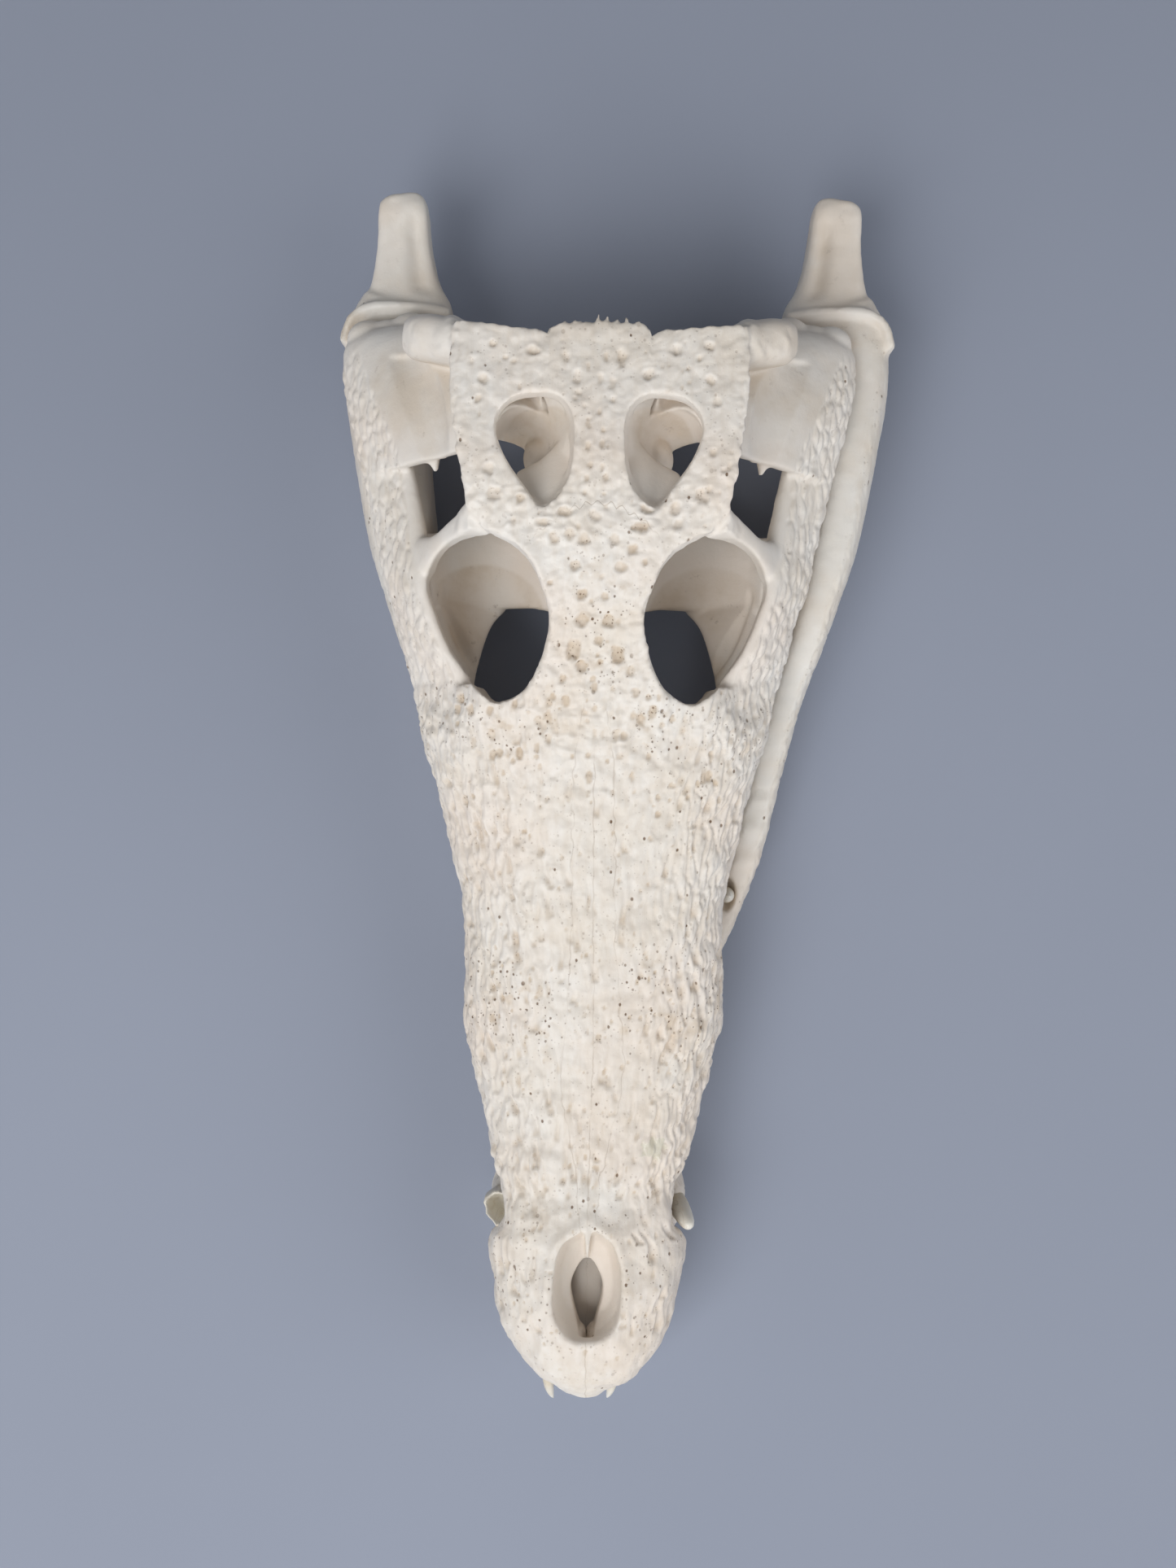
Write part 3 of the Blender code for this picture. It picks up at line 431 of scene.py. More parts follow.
def openingCutters():
    cutters = []
    for side in (1, -1):
        cutters += [
            outlineCutter("orbit", cranium["orbit"], (
                (0.06, 0.9, 0, 0.001), (0.078, 0.97, 0, 0), (0.086, 1.0, 0, 0), (0.115, 1.0, 0, 0),
                (0.135, 1.12, 0, 0)), side),
            outlineCutter("upperTemporal", cranium["upperTemporal"], (
                (0.058, 0.34, 0.012, -0.0035), (0.08, 0.38, 0.0115, -0.0025), (0.096, 0.6, 0.0075, 0.002),
                (0.108, 0.8, 0.004, 0.003), (0.118, 0.93, 0.0008, 0.0012), (0.1225, 0.99, 0, 0),
                (0.1265, 1.0, 0, 0), (0.135, 1.1, 0, 0)), side),
            # a notch leaves a ledge at the front of the orbit, a canal opens at the rear of the upper opening
            ball("orbitNotch", (0.038, 0.031, 0.1085), (0.008, 0.0046, 0.0072), side),
            ball("canal", (0.019, 0.144, 0.1065), (0.0026, 0.006, 0.0019), side),
            ball("suborbital", (0.0315, 0.022, 0.047), (0.017, 0.048, 0.033), side),
            # smooth trough between the table and the outer ridge
            strip("trough", metres(
                ((56, 118, 108), (74, 118, 96), 12), ((57, 135, 107.5), (80, 138, 93.5), 12),
                ((61, 153, 101), (87, 156, 88), 11), ((70, 166, 91), (90, 168, 82), 8)), side, squareness=2)]
    rear, front = cranium["incisiveY"]
    wide, middle = cranium["incisiveHalfWidth"], rear + (front - rear) * 0.38
    half = ((0, rear), (wide * 0.62, rear - 0.004), (wide, middle), (wide * 0.55, front + 0.008), (0, front))
    cutters += [
        outlineCutter("naris", nostril, (
            (0.0495, 0.45, 0, -0.003), (0.052, 0.75, 0, -0.001), (0.0585, 0.93, 0, 0),
            (0.066, 1.0, 0, 0), (0.078, 1.12, 0, 0))),
        outlineCutter("incisive", bothHalves(half), ((0.02, 1, 0, 0), (0.062, 1, 0, 0))),
        ball("foramenMagnum", (0, 0.169, 0.0935), (0.0078, 0.016, 0.0064)),
        ball("choana", (0, 0.116, 0.038), (0.0085, 0.007, 0.009))]
    return cutters


def innerForms():  # bone that shows inside the openings
    found = [
        levelStrip("nasalSpine", ((-167, 3.2, 63.6, 4), (-178.5, 1.9, 66.2, 3.6), (-184, 1.1, 66.4, 3.4),
                                  (-190.5, 0.5, 65.5, 2))),
        levelStrip("septum", ((-175, 1.4, 54, 12), (-186, 1.1, 52, 11), (-194, 0.8, 48, 7)))]
    for side in (1, -1):
        found += [
            ball("temporalBulge", (0.0215, 0.1255, 0.088), (0.0075, 0.0085, 0.012), side),
            strip("temporalSlope", metres(
                ((7.5, 108, 118), (8.5, 131, 109.2), 4), ((15, 101, 118), (15, 127, 108.5), 4),
                ((23.5, 98.5, 116.5), (20.5, 121.5, 108), 3.8), ((33, 106, 113), (30, 116, 107), 3.4)), side)]
    return found


# teeth

teeth = {
    # distance along Y, radius at the gum, length
    "premaxillary": metres(
        (-249, 2.4, 21.5), (-239, 2.4, 15), (-227, 3.6, 19), (-211.5, 4, 20), (-197.5, 2.5, 12)),
    "maxillary": metres(
        (-166.5, 2.5, 10), (-154.5, 2.9, 12), (-140.5, 3.5, 16), (-123.5, 4.1, 20), (-102.5, 5, 25),
        (-84, 3.4, 14), (-68, 2.9, 11), (-53, 2.9, 11), (-38.5, 3.4, 13), (-24.5, 3.6, 13), (-11.5, 3.3, 11),
        (0, 2.9, 9), (10.5, 2.5, 7)),
    "lower": metres(
        (-240, 3, 9), (-231, 2.2, 7), (-218, 2.4, 7), (-177, 4.4, 20), (-160.5, 2.1, 8), (-147.5, 2.2, 8),
        (-132, 2.4, 8), (-113.5, 2.7, 8), (-93, 2.7, 8), (-76.2, 2.8, 9), (-60.5, 2.8, 9), (-46.2, 2.7, 9),
        (-31.5, 2.6, 8), (-18, 2.4, 7), (-5.8, 2.2, 6)),
    "frontX": (-0.0158, 0.0114), "canine": 3, "lostFrom": -0.04, "sides": 20,
    "upperClearance": 0.0006, "lowerClearance": 0.0008, "upperSeed": 7, "lowerSeed": 11,
    # outlines from root to tip: distance along, share of the radius
    "sharp": ((-0.4, 0.9), (-0.15, 0.97), (0.05, 1.0), (0.2, 0.97), (0.38, 0.87), (0.55, 0.73),
              (0.7, 0.57), (0.82, 0.41), (0.91, 0.27), (0.97, 0.15), (1.0, 0.05)),
    "worn": ((-0.4, 0.92), (-0.15, 0.97), (0.05, 1.0), (0.2, 0.98), (0.38, 0.92), (0.55, 0.85),
             (0.7, 0.76), (0.82, 0.67), (0.92, 0.52), (0.98, 0.3), (1.0, 0.08)),
    "broken": ((-0.4, 0.92), (-0.15, 0.97), (0.2, 1.0), (0.6, 0.99), (0.9, 0.95), (1.0, 0.88),
               (0.98, 0.8), (0.8, 0.7), (0.5, 0.6), (0.2, 0.42), (0.1, 0.08)),
}


def toothRings(base, direction, radius, length, bend, grow, kind="sharp"):
    direction = Vector(direction).normalized()
    side = direction.orthogonal().normalized()
    other = direction.cross(side)
    radius, length = radius + grow, length + 1.5 * grow
    rings = []
    for along, width in teeth[kind]:
        centre = Vector(base) + direction * length * along + Vector(bend) * max(along, 0) ** 2
        ring = []
        for k in range(teeth["sides"]):
            turn = math.tau * k / teeth["sides"]
            jagged = 0.07 * math.sin(3 * turn + 2) + 0.05 * math.sin(7 * turn) if kind == "broken" else 0
            spot = centre + radius * width * (1 + jagged) * (side * math.cos(turn) + other * math.sin(turn))
            if kind == "broken" and along > 0.5:
                spot += direction * length * (0.2 * math.sin(2 * turn + 1) + 1.4 * jagged)
            ring.append(spot)
        rings.append(ring)
    return rings


def upperTeeth(grow=0.0):  # rings of each tooth: left first, then right
    chance = random.Random(teeth["upperSeed"])
    found = []
    for side in (1, -1):
        for y, radius, length in teeth["premaxillary"] + teeth["maxillary"]:
            length *= chance.uniform(0.9, 1.06)
            half, edge = float(snoutHalfWidth(y)), toothEdge(y)
            base = Vector(((half - 0.0032 - 0.5 * radius) * side, y, edge + 0.0015))
            lean = Vector((0.12 * side, 0.04, -1))
            bend = Vector((-0.1 * side * length, 0.16 * length, 0))
            if y == teeth["premaxillary"][0][0]:
                base = Vector((teeth["frontX"][0 if side < 0 else 1], y, edge + 0.002))
                lean = Vector((0, -1, -0.6))
            elif y < -0.235:
                base = Vector((half * 0.9 * side, y + 0.003, edge + 0.002))
                lean = Vector((0.3 * side, -0.6, -1))
            elif y < -0.22:
                lean = Vector((0.16 * side, -0.25, -1))
            base.x += snoutBend(y)
            found.append((side, toothRings(base, lean, radius, length, bend, grow)))
    return found


def lowerTeeth(grow=0.0):
    chance = random.Random(teeth["lowerSeed"])
    found = []
    for side in (1, -1):
        for place, (y, radius, length) in enumerate(teeth["lower"]):
            length *= chance.uniform(0.9, 1.06)
            if side > 0 and y > teeth["lostFrom"]:  # lost on the animal's left
                continue
            inset = 0.0095 + 0.3 * radius if place > teeth["canine"] else 0.0045 + 0.3 * radius
            if side > 0 and y == jaw["openSocket"][1]:
                inset, radius = jawOuter(y) + jawShift(y) - jaw["openSocket"][0] - 0.0004, 0.0034
            lean = Vector((0.05 * side, 0, 1))
            if place == teeth["canine"]:
                inset = 0.0042
                lean = Vector((0.22 * side, -0.22, 1))
                if side < 0:  # broken off and hollow on the animal's right
                    inset, lean, length, radius = 0.0062, Vector((-0.06, 0.1, 1)), 0.013, 0.0072
            if place == 0:
                lean = Vector((0.1 * side, -0.3, 1))
            base = Vector(((jawOuter(y) - inset) * side + jawShift(y), y, jawTop(y) - 0.0015))
            kind = ("broken" if side < 0 else "worn") if place == teeth["canine"] else "sharp"
            found.append((side, toothRings(base, lean, radius, length, (0, 0, 0), grow,
                                           "worn" if grow and kind == "broken" else kind)))
    return found


def toothCutters(rows):
    return [loft("toothCutter", rings) for _, rings in rows]


# lower jaw

jaw = {
    "openSocket": metres(56.8, -46.2, 36),
    "grain": 0.001,
    "smoothing": 6,
    "shifts": metres((-250, 0), (-190, 0), (-10, 7.4), (40, 6.6), (120, 7), (240, 7.8)),
    # distance along Y, outer half-width, thickness, foot and top
    "stations": metres(
        (-243, 14, 12, 16, 33), (-230, 24.5, 16, 4, 34.5), (-212, 30, 17.5, 0, 33.5),
        (-194, 33.5, 17.5, -1, 35), (-176, 42, 19, -1, 37), (-156, 33.5, 14, 0, 31), (-120, 38.5, 14, 1, 28),
        (-90, 44, 14.5, 2, 28), (-60, 55, 15.5, 3, 32), (-30, 65, 16, 3, 36), (0, 71.8, 16.5, 2, 40),
        (35, 80.5, 17.5, 0, 49), (70, 92.2, 20.5, -1, 58), (103, 102.5, 27, -1, 60.2),
        (137, 109, 30, 1, 59.8), (165, 113.5, 33, 6, 57.5), (185, 113, 40, 13, 56.5),
        (193, 109.2, 38.9, 18, 55.5), (197.5, 106.6, 37.2, 22, 54), (203, 104.6, 32.2, 26, 53),
        (211, 102.3, 26.8, 30, 53), (224, 100.3, 22.2, 35, 54.5), (235, 99.9, 20.8, 39, 56.5),
        (239.8, 99, 18.6, 42, 56), (242, 96.2, 12.5, 45, 54.5)),
}
jawShift = curve(jaw["shifts"])
jawOuter, jawThick, jawFoot, jawTop = (
    curve([(row[0], row[column]) for row in jaw["stations"]]) for column in (1, 2, 3, 4))


def makeJaw():
    forms, cutters = [], []
    for side in (1, -1):
        forms.append(strip("ramus", [((w - t / 2, y, high), (w - t / 2, y, low), t)
                                     for y, w, t, low, high in jaw["stations"]],
                           side, rings=150, sides=40, squareness=3.6))
        # rim behind and beside the joint
        forms.append(strip("jointRim", metres(
            ((69, 192, 47), (69, 194, 55), 5), ((85, 193, 47), (85, 195.5, 57.5), 5.4),
            ((99, 192.5, 47), (99, 195, 59), 5.4), ((108, 189, 47), (108.5, 190.5, 58.5), 5.2),
            ((112.5, 180, 47), (112.8, 180.5, 56), 5)), side, squareness=2))
        cutters.append(strip("mandibularFenestra",
                             [((x, 0.03, 0.027), (x, 0.078, 0.034), 0.016) for x in (0.06, 0.08, 0.115)],
                             side, squareness=2))
        # fossa of the jaw muscles, which on the animal's left lies open towards the middle
        inwards, wide = (0.008, 0.0125) if side > 0 else (0, 0.0085)
        cutters.append(strip("adductorFossa", [
            ((x - inwards, y, 0.075), (x - inwards, y, low), wide) for y, x, low in (
                (0.055, 0.069, 0.036), (0.08, 0.0765, 0.024), (0.11, 0.0855, 0.024),
                (0.14, 0.09, 0.036))], side))
    forms += [
        levelStrip("symphysis", ((-244, 8, 24, 14), (-235, 17, 18, 25), (-215, 22, 14, 26),
                                 (-196, 19, 12, 22), (-182, 12, 10, 10)), rings=40),
        levelStrip("symphysisRidge", ((-238, 6, 32, 10), (-220, 10, 33.8, 10), (-190, 8, 31, 10)))]
    body = runTogether("jaw", forms, jaw["grain"])
    cutAway(body, cutters)
    bendSideways([body], jawShift)
    cutAway(body, [ball("openSocket", jaw["openSocket"], (0.0045, 0.0082, 0.009))])
    return body


# relief

relief = {  # heights in millimetres
    "pitDepth": 0.56, "pitRim": 0.07, "snoutGroove": 0.85, "snoutSwell": 0.85, "cheekGroove": 0.8,
    "tableSwell": 0.65, "tableGroove": 0.16, "collar": 0.7, "drops": 310,
    "snoutDip": 1.5, "snoutShoulder": 0.9, "noseRim": 0.9, "orbitRim": 0.6, "knobs": 0.45,
    "jawGroove": 0.42, "jawNet": 0.65, "jawCollar": 0.55, "jawPitDepth": 0.55,
    "troughDepth": 1.1, "troughDeepest": 2.6,
    # larger pits of the table and the frontal bone: x, y, radius in millimetres, stretch along Y
    "pits": (
        (-38.6, 158.3, 1.7, 1.0), (-23.7, 156.3, 2.8, 0.7), (-33.9, 153.4, 1.1, 1.0),
        (-42.0, 145.5, 2.3, 1.0), (-43.7, 138.1, 1.7, 1.0), (-30.8, 152.0, 1.4, 1.0),
        (27.2, 157.0, 2.5, 1.0), (39.2, 157.9, 2.1, 1.0), (35.8, 153.6, 1.3, 1.0),
        (31.6, 150.0, 1.1, 1.0), (17.7, 147.7, 2.3, 1.0), (39.8, 146.1, 2.1, 1.0),
        (42.3, 138.1, 1.8, 1.0), (22.3, 150.6, 1.1, 1.0), (-12.4, 153.7, 1.7, 1.4),
        (-8.3, 146.6, 1.8, 1.6), (-4.1, 150.2, 1.0, 2.4), (2.1, 153.9, 1.3, 1.8), (7.9, 152.8, 2.1, 1.6),
        (0.2, 146.0, 1.3, 2.0), (4.7, 144.0, 1.6, 1.8), (-7.5, 141.0, 1.3, 1.0), (4.8, 138.3, 1.3, 1.2),
        (-5.5, 136.1, 1.3, 1.0), (0.3, 134.0, 1.3, 1.2), (-3.6, 129.0, 1.1, 1.2), (1.4, 127.6, 1.1, 1.2),
        (-3.7, 121.9, 1.3, 1.6), (1.1, 122.0, 1.3, 1.6), (-3.1, 114.8, 1.1, 1.2), (1.2, 114.5, 1.1, 1.2),
        (-4.4, 109.9, 1.1, 1.5), (2.6, 110.2, 1.1, 1.5), (-39.9, 112.9, 2.4, 1.0),
        (-37.9, 104.5, 2.8, 1.0), (-28.0, 102.5, 2.1, 1.0), (-30.7, 94.6, 1.8, 1.0),
        (40.5, 119.7, 1.8, 1.0), (37.8, 104.1, 3.5, 1.0), (28.0, 100.4, 2.4, 1.0),
        (28.8, 94.0, 2.1, 1.0), (44.8, 113.4, 1.4, 1.0), (-19.4, 94.8, 3.1, 0.6),
        (-12.3, 98.4, 3.4, 0.6), (-1.0, 97.2, 2.5, 0.9), (-16.1, 89.4, 2.6, 0.9),
        (-10.3, 90.9, 2.6, 0.9), (-4.5, 88.8, 2.6, 0.9), (6.4, 89.0, 2.2, 1.0), (17.9, 100.0, 3.8, 0.6),
        (15.8, 93.5, 4.7, 0.5), (12.7, 85.4, 2.5, 1.0), (-8.0, 79.3, 2.6, 0.8), (8.8, 79.6, 2.6, 0.8),
        (17.5, 81.1, 1.5, 1.0), (1.5, 75.8, 1.3, 1.3), (-5.6, 69.5, 2.6, 0.8), (3.1, 68.6, 2.0, 1.0),
        (-5.5, 60.5, 2.8, 1.0), (4.7, 60.2, 2.5, 1.0), (-8.3, 50.2, 2.9, 1.2), (1.1, 53.3, 2.2, 1.1),
        (8.5, 48.3, 3.1, 1.1), (-5.3, 43.7, 2.6, 1.0), (-12.5, 39.3, 1.9, 1.2), (-17.5, 30.5, 1.6, 1.4),
        (-10.9, 31.3, 1.9, 1.4), (-4.3, 27.0, 1.7, 1.3), (12.9, 42.5, 2.0, 1.2), (6.4, 35.9, 1.2, 1.2),
        (15.2, 34.6, 2.0, 1.2), (19.9, 32.9, 1.3, 1.0), (16.5, 24.4, 1.9, 1.2), (-21.3, 23.9, 1.7, 1.4),
        (25.5, 22.4, 1.2, 1.0)),
    "smallPits": 260, "tablePits": 90, "jawPits": 90, "seed": 5, "jawSeed": 31,
}


def step(value, low, high):  # 0 below low, 1 above high, smooth between
    t = np.clip((value - low) / (high - low), 0, 1)
    return t * t * (3 - 2 * t)


def band(value, low, lowEnd, high, highEnd):  # 1 between lowEnd and high, and 0 beyond low and highEnd
    return step(value, low, lowEnd) * (1 - step(value, high, highEnd))


def bell(value, middle, width):  # 1 in the middle, fading to both sides
    return np.exp(-((value - middle) / width) ** 2)


def mixed(cell, seed):  # one scrambled number for each cell of a grid
    h = (cell[:, 0] * 73856093) ^ (cell[:, 1] * 19349663) ^ (cell[:, 2] * 83492791) ^ (seed * 265443576)
    h = ((h ^ (h >> 13)) * 1274126177) & 0x7FFFFFFF
    return (h ^ (h >> 15)) & 0x3FFFFFFF


def wave(p, seed):  # smooth noise from about -1 to 1, over grid cells of size 1
    cell = np.floor(p).astype(np.int64)
    f = p - cell
    u = f * f * f * (f * (f * 6 - 15) + 10)
    total = np.zeros(len(p))
    for corner in range(8):
        d = np.array([corner & 1, corner >> 1 & 1, corner >> 2 & 1])
        h = mixed(cell + d, seed)
        angle = (h & 1023) * (math.tau / 1023)
        lift = (h >> 10 & 1023) / 511.5 - 1
        flat = np.sqrt(np.maximum(1 - lift * lift, 0))
        away = f - d
        dot = flat * (np.cos(angle) * away[:, 0] + np.sin(angle) * away[:, 1]) + lift * away[:, 2]
        total += dot * np.prod(np.where(d, u, 1 - u), axis=1)
    return total * 1.7


def cellGaps(p, seed):  # 0 on the borders between scattered cells, up to about 1 in their middles
    cell = np.floor(p).astype(np.int64)
    best, second = np.full(len(p), 9.0), np.full(len(p), 9.0)
    for dx in (-1, 0, 1):
        for dy in (-1, 0, 1):
            for dz in (-1, 0, 1):
                there = cell + np.array([dx, dy, dz])
                h = mixed(there, seed)
                spot = there + np.stack([h & 1023, h >> 10 & 1023, h >> 20 & 1023], axis=1) / 1023
                gap = np.linalg.norm(spot - p, axis=1)
                second = np.minimum(second, np.maximum(best, gap))
                best = np.minimum(best, gap)
    return second - best


def drift(q, seed):  # slow noise in x, y and z
    return np.stack([wave(q / 11, seed + k) for k in range(3)], axis=1)


def ridgeLines(q, warp, wide, narrow, bending, seed):  # wandering ridges, from -1.5 on them to 0
    coarse, fine = wave((q + warp) / wide, seed), wave((q + warp * bending) / narrow, seed + 1)
    return -(1 - step(abs(coarse), 0.0, 0.42)) - 0.5 * (1 - step(abs(fine), 0.0, 0.4))


def socketSwell(y, rows):  # highest beside the teeth of these rows, a little hollow between them
    return np.minimum(sum(bell(y, place, radius * 1.25) for place, radius, _ in rows), 1) - 0.35


def readPoints(mesh):
    flat = np.empty(len(mesh.vertices) * 3, np.float32)
    mesh.vertices.foreach_get("co", flat)
    out = np.empty(len(mesh.vertices) * 3, np.float32)
    mesh.vertices.foreach_get("normal", out)
    return flat.reshape(-1, 3).astype(float), out.reshape(-1, 3).astype(float)


def writePoints(mesh, points):
    mesh.vertices.foreach_set("co", points.astype(np.float32).ravel())
    mesh.update()


def paintPoints(mesh, **masks):
    for name, values in masks.items():
        layer = mesh.attributes.get(name) or mesh.attributes.new(name, "FLOAT", "POINT")
        layer.data.foreach_set("value", values.astype(np.float32))


def seam(distance, off=0.0):  # distance in metres that is 0 on the seam, larger where the seam has ended
    return distance + np.sign(distance) * off * 2


def insideOutline(outline, x, y):  # signed distance to a closed outline, positive inside
    line = np.array(closedCurve(outline, 90))
    following = np.roll(line, -1, axis=0)
    inside = np.zeros(len(x), bool)
    nearest = np.full(len(x), 9.0)
    for (ax, ay), (bx, by) in zip(line, following):
        cross = ((ay > y) != (by > y)) & (x < (bx - ax) * (y - ay) / (by - ay + 1e-12) + ax)
        inside ^= cross
        length = (bx - ax) ** 2 + (by - ay) ** 2
        t = np.clip(((x - ax) * (bx - ax) + (y - ay) * (by - ay)) / length, 0, 1)
        nearest = np.minimum(nearest, np.hypot(x - ax - t * (bx - ax), y - ay - t * (by - ay)))
    return np.where(inside, nearest, -nearest)


def carvePits(pits, q, wobble, height, pitted):  # q, height in millimetres
    for x, y, radius, stretch in pits:
        near = np.flatnonzero((abs(q[:, 0] - x) < 2 * radius) & (abs(q[:, 1] - y) < 2 * radius * stretch))
        if not len(near):
            continue
        r = np.hypot(q[near, 0] - x, (q[near, 1] - y) / stretch) / radius + 0.34 * wobble[near]
        deep = 1 - step(r, 0.35, 1.0)
        rim = bell(r, 1.22, 0.3)
        height[near] += radius * (relief["pitRim"] * rim - relief["pitDepth"] * deep)
        pitted[near] = np.maximum(pitted[near], 1 - step(r, 0.55, 1.0))


def carveDrops(count, q, bent, half, upper, height, pitted):
    # drops along the snout: steep and deepest at the front end, fading to the rear
    chance = random.Random(relief["seed"] + 1)
    share = bent / np.maximum(half, 0.01)
    placed = 0
    while placed < count:
        y, n = chance.uniform(-225, 38), chance.uniform(-0.97, 0.97)
        if chance.random() > 0.25 + 0.75 * abs(n) or (y < -170 and chance.random() < 0.6):
            continue
        placed += 1
        width, length = chance.uniform(0.9, 2.1), chance.uniform(5, 17)
        depth = width * chance.uniform(0.35, 0.65)
        near = np.flatnonzero((q[:, 1] > y - 0.2 * length) & (q[:, 1] < y + length)
                              & (abs(share - n) < 0.12) & (upper > 0.01))
        if not len(near):
            continue
        t = (q[near, 1] - y) / length
        u = abs((share[near] - n) * half[near] * 1000 + 0.5 * np.sin(t * 5 + y)) / (width * (1 - 0.35 * t))
        along = step(t, -0.14, 0.06) * (1 - step(t, 0.15, 1.0)) * upper[near]
        height[near] += depth * along * (0.3 * bell(u, 1.25, 0.3) - 1 + step(u, 0.25, 1.05))
        inside = 0.8 * along * (1 - step(u, 0.4, 0.9)) * (1 - step(t, 0.0, 0.35))
        pitted[near] = np.maximum(pitted[near], inside)


def carveCranium(obj):
    p, n = readPoints(obj.data)
    q = p * 1000
    x, y, z = p.T
    ax = abs(x)
    up = n[:, 2]
    outward = n[:, 0] * np.sign(x)
    bent = x - snoutBend(y)
    half = snoutHalfWidth(y)
    edge = toothEdge(y)
    roofHalf, top = roofSide(y), roofTop(y)
    # where each kind of surface is
    roof = step(z, top - 0.006, top - 0.0035) * step(up, 0.15, 0.5) * step(roofHalf + 0.0015 - ax, 0, 0.002)
    roof *= step(y, -0.02, 0.03)
    snout = (1 - step(y, 0.01, 0.05)) * step(z, edge + 0.001, edge + 0.006) * step(up, -0.35, 0.05)
    nose = insideOutline(nostril, bent, y)
    snout *= 1 - step(nose, -0.0008, 0.0008)
    orbit = insideOutline(cranium["orbit"], ax, y)
    hole = insideOutline(cranium["upperTemporal"], ax, y)
    inner = curve(metres(
        (-20, 30), (20, 45), (41.8, 53.5), (52.5, 60), (66.4, 66), (79, 70.5), (95.3, 72.5), (109.8, 74.5),
        (124, 76.5), (145, 85), (162, 92), (178, 98.5)))(y)
    cheek = step(ax, inner - 0.0006, inner + 0.0016) * band(y, -0.01, 0.035, 0.163, 0.176)
    cheek *= step(up + outward, 0.15, 0.6) * step(z, 0.058, 0.066)
    front = (1 - step(y, 0.02, 0.055)) * step(y, -0.02, 0.02) * step(z, 0.068, 0.078) * step(up, 0, 0.4)
    front *= 1 - step(orbit, -0.0025, -0.0005)
    rough = np.clip(np.maximum.reduce([roof, snout, cheek, front]), 0, 1)
    # noise fields
    warp = drift(q, 1) * 2.6
    fine = wave(q / 1.5, 4)
    soft = wave(q / 5, 5)
    broad = wave(q / 14, 6)
    height = np.zeros(len(p))
    pitted = np.zeros(len(p))
    # snout: wandering ridges along it, stronger towards the sides
    ridges = ridgeLines(q, warp, (4.4, 22, 4.4), (2.8, 10, 2.8), 0.8, 7)
    side = step(abs(bent) / np.maximum(half, 0.01), 0.2, 0.75)
    tip = 1 - 0.9 * (1 - step(y, -0.185, -0.155))
    height += snout * (0.2 + 0.8 * side) * tip * (relief["snoutGroove"] * (ridges + 0.5))
    height += snout * relief["snoutSwell"] * (soft * 0.6 + broad * (1.7 - 0.7 * step(y, -0.17, -0.13)))
    # dips beside the rear of the nostril opening, and swellings behind them
    height -= snout * relief["snoutDip"] * bell(y, -0.1705, 0.0065) * bell(abs(bent), 0.017, 0.009)
    height += snout * relief["snoutShoulder"] * bell(y, -0.15, 0.01) * bell(abs(bent), 0.024, 0.01)
    # cheeks: a net of short ridges
    pick = np.flatnonzero(cheek > 0.01)
    gaps = cellGaps((q[pick] + warp[pick] * 0.5) / (4.0, 8.0, 4.0), 9)
    height[pick] += cheek[pick] * relief["cheekGroove"] * (step(gaps, 0.0, 0.5) - 0.5)
    height += cheek * 0.25 * soft
    # table and frontal bone: low knobs and pits
    height += roof * relief["tableSwell"] * (broad * 0.8 + soft * 0.7)
    winding = 1 - step(abs(wave((q + warp) / 4.2, 15)), 0.0, 0.3)
    height -= roof * relief["tableGroove"] * winding
    lateral = step(z, 0.112, 0.116) * step(outward, 0.4, 0.7) * (y > 0.085) * (ax > roofHalf - 0.004)
    height += lateral * 0.7 * wave(q / (4, 4.5, 4), 16)
    rimmed = roof * step(ax, roofHalf - 0.006, roofHalf - 0.002) * step(y, 0.09, 0.11)
    height += rimmed * (0.35 * wave(q / 2.4, 10) + 0.15)
    height += front * 0.4 * wave(q / 3.4, 19)
    knobs = roof * (band(y, 0.085, 0.095, 0.105, 0.115) + 1 - step(y, 0.06, 0.085))
    height += knobs * relief["knobs"] * wave(q / 2.7, 11)
    clear = (roof + front) * (1 - step(hole, -0.0012, 0)) * (1 - step(orbit, -0.001, 0))
    marks = np.zeros(len(p))
    ragged = 0.8 * soft + 0.9 * wave(q / 1.8, 17)
    carvePits(relief["pits"], q, ragged, marks, pitted)
    carveDrops(relief["drops"] // (1), q, bent, half, snout * step(up, 0.1, 0.4),
               height, pitted)
    chance = random.Random(relief["seed"])
    small = []
    while len(small) < relief["smallPits"]:
        py = chance.uniform(-238, 40)
        px = chance.uniform(-1, 1) * float(snoutHalfWidth(py / 1000)) * 820
        size = chance.uniform(0.45, 0.95) * (1.0 + 1.1 * max(0.0, min(1.0, (py + 30) / 50)))
        crowd = 0.35 + 0.65 * max(math.exp(-((py + 88) / 16) ** 2), math.exp(-((py - 12) / 20) ** 2))
        if chance.random() < crowd:
            small.append((px, py, size, chance.uniform(1.0, 2.2)))
    smallMarks, smallPitted = np.zeros(len(p)), np.zeros(len(p))
    for _ in range(relief["tablePits"]):
        small.append((chance.uniform(-50, 50), chance.uniform(20, 165), chance.uniform(0.5, 1.3),
                      chance.uniform(0.8, 1.5)))
    carvePits(small, q, ragged, smallMarks, smallPitted)
    upper = step(up, 0.3, 0.6)
    bare = np.clip(snout + clear, 0, 1)
    height += marks * np.clip(clear, 0, 1) + smallMarks * bare * upper
    pitted = np.maximum(pitted * bare, smallPitted * bare * upper)
    height += rough * 0.1 * fine
